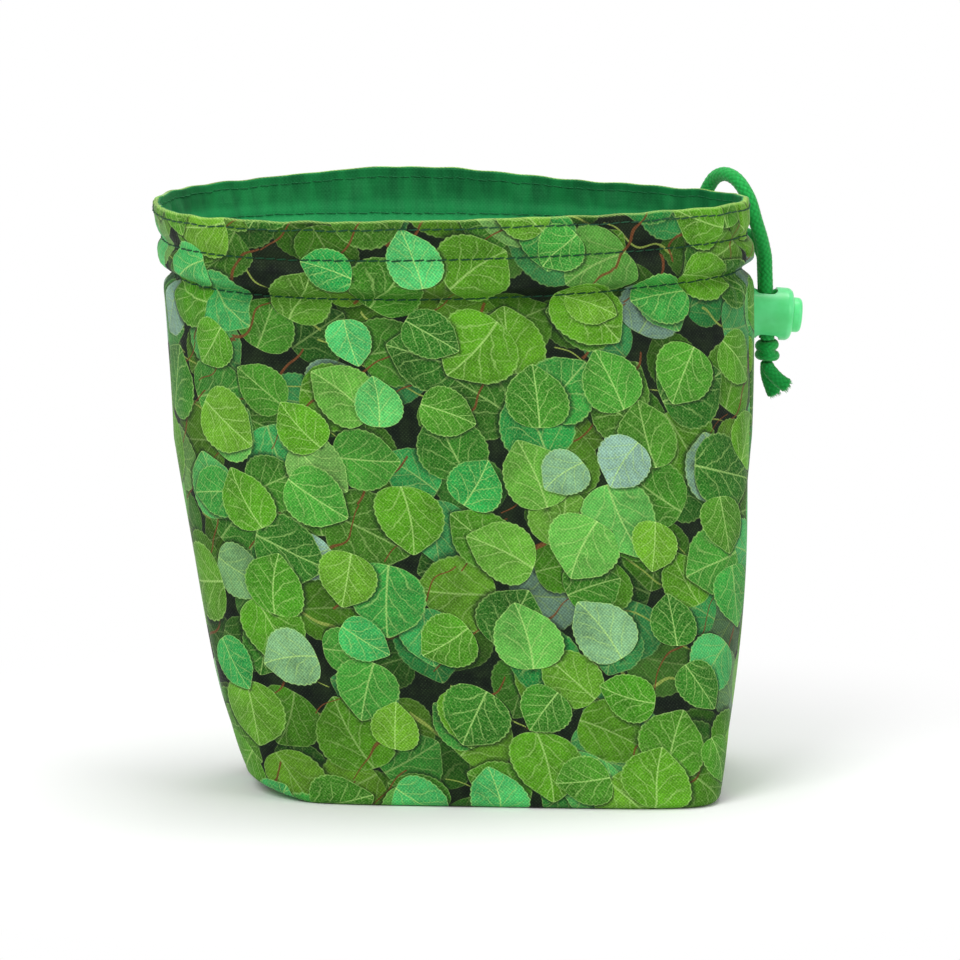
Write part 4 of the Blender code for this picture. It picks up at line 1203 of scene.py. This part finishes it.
def random_of(tree, x, y, seed):
    """Three random numbers for a cell."""
    place = node(tree, "ShaderNodeCombineXYZ", X=x, Y=y, Z=seed)
    white = node(tree, "ShaderNodeTexWhiteNoise", 1, {"noise_dimensions": "3D"}, Vector=place)
    apart = tree.nodes.new("ShaderNodeSeparateColor")
    plug(tree, white, apart.inputs[0])
    return [Wire(tree, apart.outputs[k]) for k in range(3)]


def group_with(name, inputs, outputs):
    """A node group and its inputs as wires, by name."""
    tree = bpy.data.node_groups.new(name, "ShaderNodeTree")
    for kind, names, way in (("in", inputs, "INPUT"), ("out", outputs, "OUTPUT")):
        for key, socket in names.items():
            tree.interface.new_socket(key, in_out=way, socket_type="NodeSocket" + socket)
    source, sink = tree.nodes.new("NodeGroupInput"), tree.nodes.new("NodeGroupOutput")
    return tree, {key: Wire(tree, source.outputs[key]) for key in inputs}, sink


def turned_by(x, y, angle):
    """x and y turned by an angle."""
    c, s = angle.math("COSINE"), angle.math("SINE")
    return x * c + y * s, y * c - x * s


def leaf_layer_group():
    """A group that lays one layer of leaves over the colour below it."""
    tree, given, sink = group_with(
        "leaf_layer",
        {"Across": "Float", "Up": "Float", "Turn": "Float", "Cell": "Float", "Seed": "Float",
         "Light": "Float", "Mottle": "Float", "Net": "Float", "Below": "Color"},
        {"Color": "Color"},
    )
    # The cell, its leaf's place, and the place measured from the leaf's middle along its length.
    x, y = turned_by(given["Across"], given["Up"], given["Turn"])
    x = x / given["Cell"] + given["Seed"] * CELL_SHIFT[0]
    y = y / given["Cell"] + given["Seed"] * CELL_SHIFT[1]
    cell_x, cell_y = x.math("FLOOR"), y.math("FLOOR")
    place_x, place_y, angle = random_of(tree, cell_x, cell_y, given["Seed"])
    size, tone, kept = random_of(tree, cell_x, cell_y, given["Seed"] + SECOND_SEED)
    half = size * HALF_RANGE + LEAST_HALF
    room = half.minus_from(CELL_HALF) * 2.0
    x = x - cell_x - 0.5 - (place_x - 0.5) * room
    y = y - cell_y - 0.5 - (place_y - 0.5) * room
    down, aside = turned_by(y * -1.0, x, given["Turn"])
    lee = (down + aside * 0.6).ramp(-0.30, 0.35)
    x, y = turned_by(x, y, angle * 2 * math.pi)
    x, y = x / half, y / half
    x = x + y * y * (tone - 0.5) * 0.24
    # The outline: a half width for each share of the length, with small teeth and a narrow tip.
    share = (y * 0.5 + 0.5).math("ADD", 0.0, clamp=True)
    breadth = size * BREADTH_RANGE + LEAST_BREADTH
    teeth = (y * TEETH).math("SINE") * TEETH_DEPTH + 1.0
    tip = share.ramp(0.70, 1.0) * -TIP_SHARPER + 1.0
    edge = share**BASE_POWER * share.minus_from(1.0) ** TIP_POWER * breadth * teeth * tip
    side = x.math("ABSOLUTE")
    inside = (edge - side).math("MINIMUM", (y.math("ABSOLUTE")).minus_from(1.0) * 1.3)
    on = kept.math("GREATER_THAN", BARE_CELLS)
    leaf = inside.ramp(-0.004, 0.028) * on
    shade = inside.ramp(-0.20, 0.01) * on * (lee * 0.75 + 0.25)
    # The veins: a midrib, branches that fan out from it, twigs between them, and a fine net.
    rib = (side - share.minus_from(1.0) * MIDRIB_HALF).ramp(0.006, 0.030).minus_from(1.0)
    drift = (given["Mottle"] - 0.5) * 1.1
    fan = share * BRANCHES - side * BRANCH_SLANT + side * side * BRANCH_BEND
    fan = fan + x.math("GREATER_THAN", 0.0) * 0.45 + drift
    line = (fan.math("FRACT") - 0.5).math("ABSOLUTE")
    branch = line.ramp(0.025, 0.085).minus_from(1.0)
    branch = branch * (side / (edge + 0.02)).ramp(0.45, 1.0).minus_from(1.0)
    twig = (fan * 2.6 + side * 7.0).math("FRACT") - 0.5
    twig = twig.math("ABSOLUTE").ramp(0.04, 0.16).minus_from(1.0) * given["Net"]
    vein = rib.math("MAXIMUM", branch * BRANCH_LIGHT)
    vein = vein.math("MAXIMUM", twig * TWIG_LIGHT + given["Net"] * NET_LIGHT)
    rim = inside.ramp(0.015, 0.075).minus_from(1.0)
    # The leaf's colour, and what lies below it in its shadow.
    colour = palette(tree, tone, LEAF_TONES)
    halves = x.math("GREATER_THAN", 0.0) * 0.16 - 0.08
    level = (given["Mottle"] - 0.5) * 0.9 + halves - y * 0.10 + line * 0.26 + 0.80
    colour = times(tree, colour, level)
    colour = mix(tree, vein * 0.62 + rim * 0.42, colour, VEIN_TONE)
    colour = times(tree, colour, given["Light"])
    below = mix(tree, shade * 0.80, given["Below"], SHADOW_TONE)
    plug(tree, mix(tree, leaf, below, colour), sink.inputs["Color"])
    return tree


def stem_group():
    """A group that draws one family of thin wavy stems over the colour below it."""
    tree, given, sink = group_with(
        "stems", {"Across": "Float", "Up": "Float", "Turn": "Float", "Wave": "Float", "Seed": "Float",
                  "Tone": "Color", "Below": "Color"}, {"Color": "Color"})
    x, y = turned_by(given["Across"], given["Up"], given["Turn"])
    x = x / STEM_SPACING + (given["Wave"] - 0.5) * 1.1 + given["Seed"]
    strip = x.math("FLOOR")
    part = (y / STEM_LENGTH + strip * 0.37).math("FLOOR")
    place, thick, kept = random_of(tree, strip, part, given["Seed"])
    off = (x - strip - 0.3 - place * 0.4).math("ABSOLUTE")
    line = (off - thick * 0.012).ramp(0.006, 0.020).minus_from(1.0) * kept.math("GREATER_THAN", BARE_STEMS)
    plug(tree, mix(tree, line * 0.9, given["Below"], given["Tone"]), sink.inputs["Color"])
    return tree


# %% Printed cotton
LEAF_LAYERS = (
    (0.35, 0.0235, 3.0, 0.30), (1.15, 0.0250, 17.0, 0.42), (2.05, 0.0230, 29.0, 0.56),
    (0.80, 0.0262, 41.0, 0.68), (1.75, 0.0240, 53.0, 0.82), (2.65, 0.0256, 67.0, 0.94),
    (0.10, 0.0215, 83.0, 1.04),
)
STEMS_OVER_LAYER = {1: green(132, 150, 70), 3: green(104, 62, 34)}


def group_node(tree, group, **inputs):
    """A group in a tree, with its inputs."""
    made = tree.nodes.new("ShaderNodeGroup")
    made.node_tree = group
    for key, value in inputs.items():
        plug(tree, value, made.inputs[key])
    return Wire(tree, made.outputs[0])


def printed_cotton():
    """Leaves over stems over a dark ground in a woven cloth with painted weave light and shade, and a pale
    rim of wear and painted highlight.
    """
    made, tree, shader = new_material("printed_cotton", 0.82, Sheen_Weight=0.02, Sheen_Roughness=0.5,
                                      Specular_IOR_Level=0.10)
    uv, across, up = cloth_place(tree)
    mottle, wave = noise(tree, uv, 150.0, 3.0), noise(tree, uv, 55.0, 1.0)
    net = node(tree, "ShaderNodeTexVoronoi", 0, {"feature": "DISTANCE_TO_EDGE"}, Vector=uv, Scale=1050.0)
    net = net.ramp(0.03, 0.16).minus_from(1.0)
    colour = mix(tree, mottle.ramp(0.35, 0.7), green(10, 20, 12), green(26, 40, 20))
    stems, leaves = stem_group(), leaf_layer_group()
    for number, (turn, cell, seed, light) in enumerate(LEAF_LAYERS):
        colour = group_node(tree, leaves, Across=across, Up=up, Turn=turn, Cell=cell, Seed=seed,
                            Light=light, Mottle=mottle, Net=net, Below=colour)
        if number in STEMS_OVER_LAYER:
            colour = group_node(tree, stems, Across=across, Up=up, Turn=0.5 + number * 0.6, Wave=wave,
                                Seed=number * 7.0, Tone=STEMS_OVER_LAYER[number], Below=colour)
    cloth, warp = yarns(tree, (uv, across, up), 2600.0, 160.0, 0.36, 0.40)
    # Painted light and shade of the weave: the colour is darker where the yarn lies low and lighter where
    # it stands high, partly the yarns' own slubs. The pale green over the highest threads is a painted
    # highlight.
    colour = times(tree, colour, cloth * 1.60 + 0.06)
    colour = mix(tree, (cloth - 0.70).ramp(0.0, 0.2) * 0.08, colour, green(170, 200, 140))
    twist = ((across + up * 1.5) * (2 * math.pi / 0.0012) + warp * 5.0).math("SINE") * 0.30 + 0.44
    # A pale twisted line along the rim's crown: partly wear of the folded edge and partly painted
    # highlight.
    wear_and_highlight = ((up - RIM_TOP).math("ABSOLUTE") + (warp - 0.5) * 0.0008).ramp(0.0004, 0.0012).minus_from(1.0)
    colour = mix(tree, wear_and_highlight * twist, colour, green(172, 212, 112))
    roughness = cloth.minus_from(1.25).math("MULTIPLY", 0.9, clamp=True)
    finish_with(tree, shader, colour, roughness, cloth, 0.00016, 0.75)
    return made


print_cloth = printed_cotton()
print("print has", len(LEAF_LAYERS), "layers of leaves")

# %% [markdown]
# ### Plain cotton, thread, braid, plastic and steel
# The lining is one dyed green with the same weave. Its streaky darker patches are partly uneven dye
# and partly painted shade of its puckers; it is painted paler from just above the channel down, as
# painted light, and darker in the band under the rim, as painted shade, and its high threads get a
# painted highlight. The thread has fine slanting plies, with painted shade between them and painted
# light on them. The cord's yarns are soft fibres along each yarn, with painted shade in the grooves
# between them and painted highlight on their crowns. The lock is satin plastic that lets some light
# in, and the spring is wire.

# %% Lining and thread
def lining_cotton():
    """One green, woven; streaks of uneven dye and painted pucker shade, and painted light and shade by
    height.
    """
    made, tree, shader = new_material("lining_cotton", 0.86, Sheen_Weight=0.05, Sheen_Roughness=0.5,
                                      Specular_IOR_Level=0.15)
    uv, across, up = cloth_place(tree)
    cloth, _ = yarns(tree, (uv, across, up), 2400.0, 130.0, 0.22, 0.45)
    # Streaks drawn out upward: partly uneven dye and partly painted shade of the lining's puckers.
    patch = slubs(tree, uv, (170.0, 46.0, 1.0))
    colour = mix(tree, patch.ramp(0.3, 0.7), green(6, 96, 48), green(18, 128, 64))
    # Painted light and shade: a paler green below a line just above the channel's upper row, as light on
    # the channel's bulge, and the darker band under the rim as shade.
    colour = mix(tree, (up - 0.1525).ramp(-0.003, 0.003).minus_from(1.0) * 0.45, colour, green(24, 148, 80))
    # Partly the yarns' slubs, partly a painted highlight: a lighter green where the yarn stands high.
    colour = mix(tree, (cloth - 0.45).ramp(0.0, 0.4) * 0.25, colour, green(40, 158, 90))
    roughness = cloth.minus_from(1.3).math("MULTIPLY", 0.9, clamp=True)
    finish_with(tree, shader, colour, roughness, cloth, 0.00018, 0.8)
    return made


def sewing_thread(name, shade, light):
    """A green thread, with plies that slant across it, painted with shade between them and light on them.
    """
    made, tree, shader = new_material(name, 0.60, Sheen_Weight=0.05, Specular_IOR_Level=0.2)
    uv, around, along = cloth_place(tree)
    ply = ((along * 2.0 + around) * (2 * math.pi / 0.00042)).math("SINE") * 0.5 + 0.5
    fuzz = noise(tree, uv, 4200.0, 2.0)
    # The plies' grooves take the shade green and their tops the light green: painted shade and painted
    # light.
    colour = mix(tree, ply * 0.6 + fuzz * 0.4, shade, light)
    finish_with(tree, shader, colour, fuzz * 0.3 + 0.45, ply, 0.00007)
    return made


lining_cloth = lining_cotton()
# Each thread's two greens are its painted shade and painted light.
thread = sewing_thread("sewing_thread", green(6, 54, 32), green(24, 98, 60))
inner_thread = sewing_thread("inner_thread", green(18, 112, 62), green(34, 150, 86))
print("made", lining_cloth.name, thread.name)


# %% Braid
def braided_cord():
    """Yarn colours by crown height, painted shade in grooves and highlight on crowns, and fibres drawn
    along the braid's two diagonals.
    """
    made, tree, shader = new_material("braided_cord", 0.72, Sheen_Weight=0.25, Sheen_Roughness=0.4,
                                      Specular_IOR_Level=0.3)
    uv, around, along = cloth_place(tree)
    crown = node(tree, "ShaderNodeAttribute", output=2, settings={"attribute_name": "crown"})
    turn = around * (BRAID_YARNS / (math.pi * CORD))
    a, b = turn + along / BRAID_PITCH, turn - along / BRAID_PITCH
    over = (a.math("FLOOR") + b.math("FLOOR")).math("MODULO", 2.0).math("ABSOLUTE")
    over = over.math("GREATER_THAN", 0.5)
    across = over * a + over.minus_from(1.0) * b
    fibre = (across * (2 * math.pi * 5.0)).math("SINE") * 0.5 + 0.5
    uneven, patch = noise(tree, uv, 1500.0, 3.0), noise(tree, uv, 260.0, 2.0)
    level = crown * 0.50 + fibre * 0.12 + uneven * 0.40
    # The palette is painted shade in the grooves between yarns and painted highlight on their crowns.
    colour = palette(tree, level, (
        (0.12, green(0, 96, 36)), (0.45, green(6, 146, 56)),
        (0.75, green(26, 178, 76)), (1.00, green(60, 204, 106)),
    ))
    colour = mix(tree, patch.ramp(0.45, 0.75) * 0.25, colour, green(10, 128, 48))
    finish_with(tree, shader, colour, uneven * 0.25 + 0.60, fibre * 0.6 + uneven, 0.00010, 0.7)
    return made


cord_braid = braided_cord()
print("made", cord_braid.name)


# %% Plastic and steel
OBJECT_PLACE = 3


def lock_plastic():
    """Satin green plastic, a little translucent, with a faint uneven moulded skin."""
    made, tree, shader = new_material(
        "lock_plastic", 0.30, Subsurface_Weight=0.16, Subsurface_Scale=0.004, IOR=1.49,
        Subsurface_Radius=(0.5, 1.0, 0.6), Coat_Weight=0.08, Coat_Roughness=0.25,
    )
    place = node(tree, "ShaderNodeTexCoord", output=OBJECT_PLACE)
    cloud, grain = noise(tree, place, 160.0, 3.0), noise(tree, place, 2600.0, 2.0)
    colour = mix(tree, cloud.ramp(0.3, 0.7), green(78, 220, 124), green(98, 234, 146))
    roughness = grain * 0.14 + cloud * 0.10 + 0.20
    finish_with(tree, shader, colour, roughness, grain * 0.5 + cloud * 2.0, 0.00005, 0.6)
    return made


def spring_wire():
    """Drawn steel wire with fine streaks."""
    made, tree, shader = new_material("spring_wire", 0.28, Metallic=1.0)
    streak = noise(tree, node(tree, "ShaderNodeTexCoord", output=OBJECT_PLACE), 1800.0, 3.0)
    colour = mix(tree, streak, (0.42, 0.43, 0.45), (0.62, 0.63, 0.65))
    finish_with(tree, shader, colour, streak * 0.2 + 0.2, streak, 0.00001)
    return made


lock_finish, wire_finish = lock_plastic(), spring_wire()
print("made", lock_finish.name, wire_finish.name)

# %% [markdown]
# ## Dressing the model
# Every new piece rides on a body of the model, stands for the solids that it replaces and gets its
# finish. The spring keeps its own solid with a new finish.

# %% Ride, replace and paint
def dress(piece, finish, body, slot, *stands_for):
    """Gives a piece its material, its body and the nodes that it replaces; the slot is not used."""
    piece.data.materials.clear()
    piece.data.materials.append(finish)
    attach(piece, body)
    if stands_for:
        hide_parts(*stands_for)


ON_POUCH = (
    (print_cloth, "printed_cotton",
     ((print_front, "outer_front_panel"), (print_back, "outer_back_panel"))),
    (lining_cloth, "lining_cotton",
     ((lining_front, "lining_front_panel"), (lining_back, "lining_back_panel"))),
    (thread, "sewing_thread", (
        (outer_rows["rim"], "rim_topstitch_thread"),
        (outer_rows["upper"], "upper_channel_thread"),
        (outer_rows["lower"], "lower_channel_thread"),
    )),
    (inner_thread, "sewing_thread", (
        *((row,) for row in inner_rows.values()),
        (eyelet_a, "eyelet_a_thread"),
        (eyelet_b, "eyelet_b_thread"),
    )),
    (cord_braid, "braided_cord", (
        (held_cord, "drawcord_in_channel"),
        (strand_a, "drawcord_strand_a"),
        (strand_b, "drawcord_strand_b"),
        (knot, "cord_end_knot"),
        (tail_a, "drawcord_tail_a"),
        (tail_b, "drawcord_tail_b"),
    )),
)
for finish, slot, pieces in ON_POUCH:
    for piece, *stands_for in pieces:
        dress(piece, finish, "pouch", slot, *stands_for)
dress(barrel, lock_finish, "cord_lock", "lock_plastic", "cord_lock_barrel")
dress(plunger, lock_finish, "plunger", "lock_plastic", "cord_lock_plunger")
spring = nodes["cord_lock_spring"]
spring.data.materials.clear()
spring.data.materials.append(wire_finish)

print("pieces dressed")

# %% [markdown]
# ## Floor and light
# A plain pale floor keeps the pouch's soft shadow. One broad lamp stands in front at the upper left,
# a weaker one at the right, and one above lights the inside of the mouth. The world adds an even
# white light, and it shows as white to the camera and in gloss.

# %% Floor
FLOOR_HALF, FLOOR_BELOW = 3.0, 0.0001
WHITE_FROM, WHITE_TO = 0.095, 0.22


def seen_rays(tree):
    """1 for rays that show a thing to the camera, directly, in gloss or through it, and 0 for others."""
    path = tree.nodes.new("ShaderNodeLightPath")
    camera_ray, glossy_ray, passing_ray = (
        Wire(tree, path.outputs[f"Is {kind} Ray"]) for kind in ("Camera", "Glossy", "Transmission"))
    return camera_ray.math("MAXIMUM", glossy_ray).math("MAXIMUM", passing_ray)


def mix_shaders(tree, share, first, second):
    """Two shaders mixed by a share of the second."""
    made = tree.nodes.new("ShaderNodeMixShader")
    for value, target in zip((share, first, second), made.inputs):
        plug(tree, value, target)
    return Wire(tree, made.outputs[0])


floor_points = np.array([(-1, -1, 0), (1, -1, 0), (1, 1, 0), (-1, 1, 0)], float) * FLOOR_HALF
floor_points[:, 2] = -FLOOR_BELOW
floor = put_mesh("floor", floor_points, [[0, 1, 2, 3]])
floor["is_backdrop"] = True
floor_finish, floor_tree, floor_shader = new_material("pale_floor", 0.9, Specular_IOR_Level=0.1)
floor_shader.inputs["Base Color"].default_value = (0.97, 0.97, 0.97, 1.0)
far = node(floor_tree, "ShaderNodeVectorMath", output=1, settings={"operation": "LENGTH"},
           Vector=node(floor_tree, "ShaderNodeTexCoord", output=OBJECT_PLACE))
white = node(floor_tree, "ShaderNodeEmission", Color=(1.0, 1.0, 1.0), Strength=1.0)
whiter = mix_shaders(
    floor_tree, far.ramp(WHITE_FROM, WHITE_TO) * seen_rays(floor_tree), floor_shader.outputs[0], white)
plug(floor_tree, whiter, floor_tree.nodes["Material Output"].inputs["Surface"])
floor.data.materials.append(floor_finish)
print("floor ready")

# %% Lamps and world
LIT_POINT = Vector((0, 0, 0.09))


def lamp(name, place, size, power):
    """A square soft lamp that faces the pouch."""
    data = bpy.data.lights.new(name, "AREA")
    data.size, data.energy = size, power
    thing = bpy.data.objects.new(name, data)
    bpy.context.scene.collection.objects.link(thing)
    thing.location = place
    thing.rotation_euler = (LIT_POINT - Vector(place)).to_track_quat("-Z", "Y").to_euler()


lamp("key_lamp", (-0.75, -1.10, 1.15), 0.8, 15.0)
lamp("fill_lamp", (1.15, -0.95, 0.7), 0.8, 5.0)
lamp("top_lamp", (0.1, 0.15, 1.35), 0.7, 9.0)
world = bpy.data.worlds.new("studio")
world.use_nodes = True
bpy.context.scene.world = world
sky = world.node_tree
sky.nodes.clear()
soft, seen = (node(sky, "ShaderNodeBackground", Color=(1.0, 1.0, 1.0), Strength=s) for s in (0.38, 1.0))
sky_output = sky.nodes.new("ShaderNodeOutputWorld")
plug(sky, mix_shaders(sky, seen_rays(sky), soft, seen), sky_output.inputs["Surface"])
bpy.context.scene.view_settings.view_transform = "Standard"

# %% [markdown]
# ## Size
# The boxes of the imported model and of the dressed pouch are both printed.

# %% Sizes and finish
seen_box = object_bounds()
for label, box in (("model", cad_box), ("dressed", seen_box)):
    low, high = ([round(c * 1000, 1) for c in corner] for corner in box)
    print(label, "from", low, "to", high, "mm")
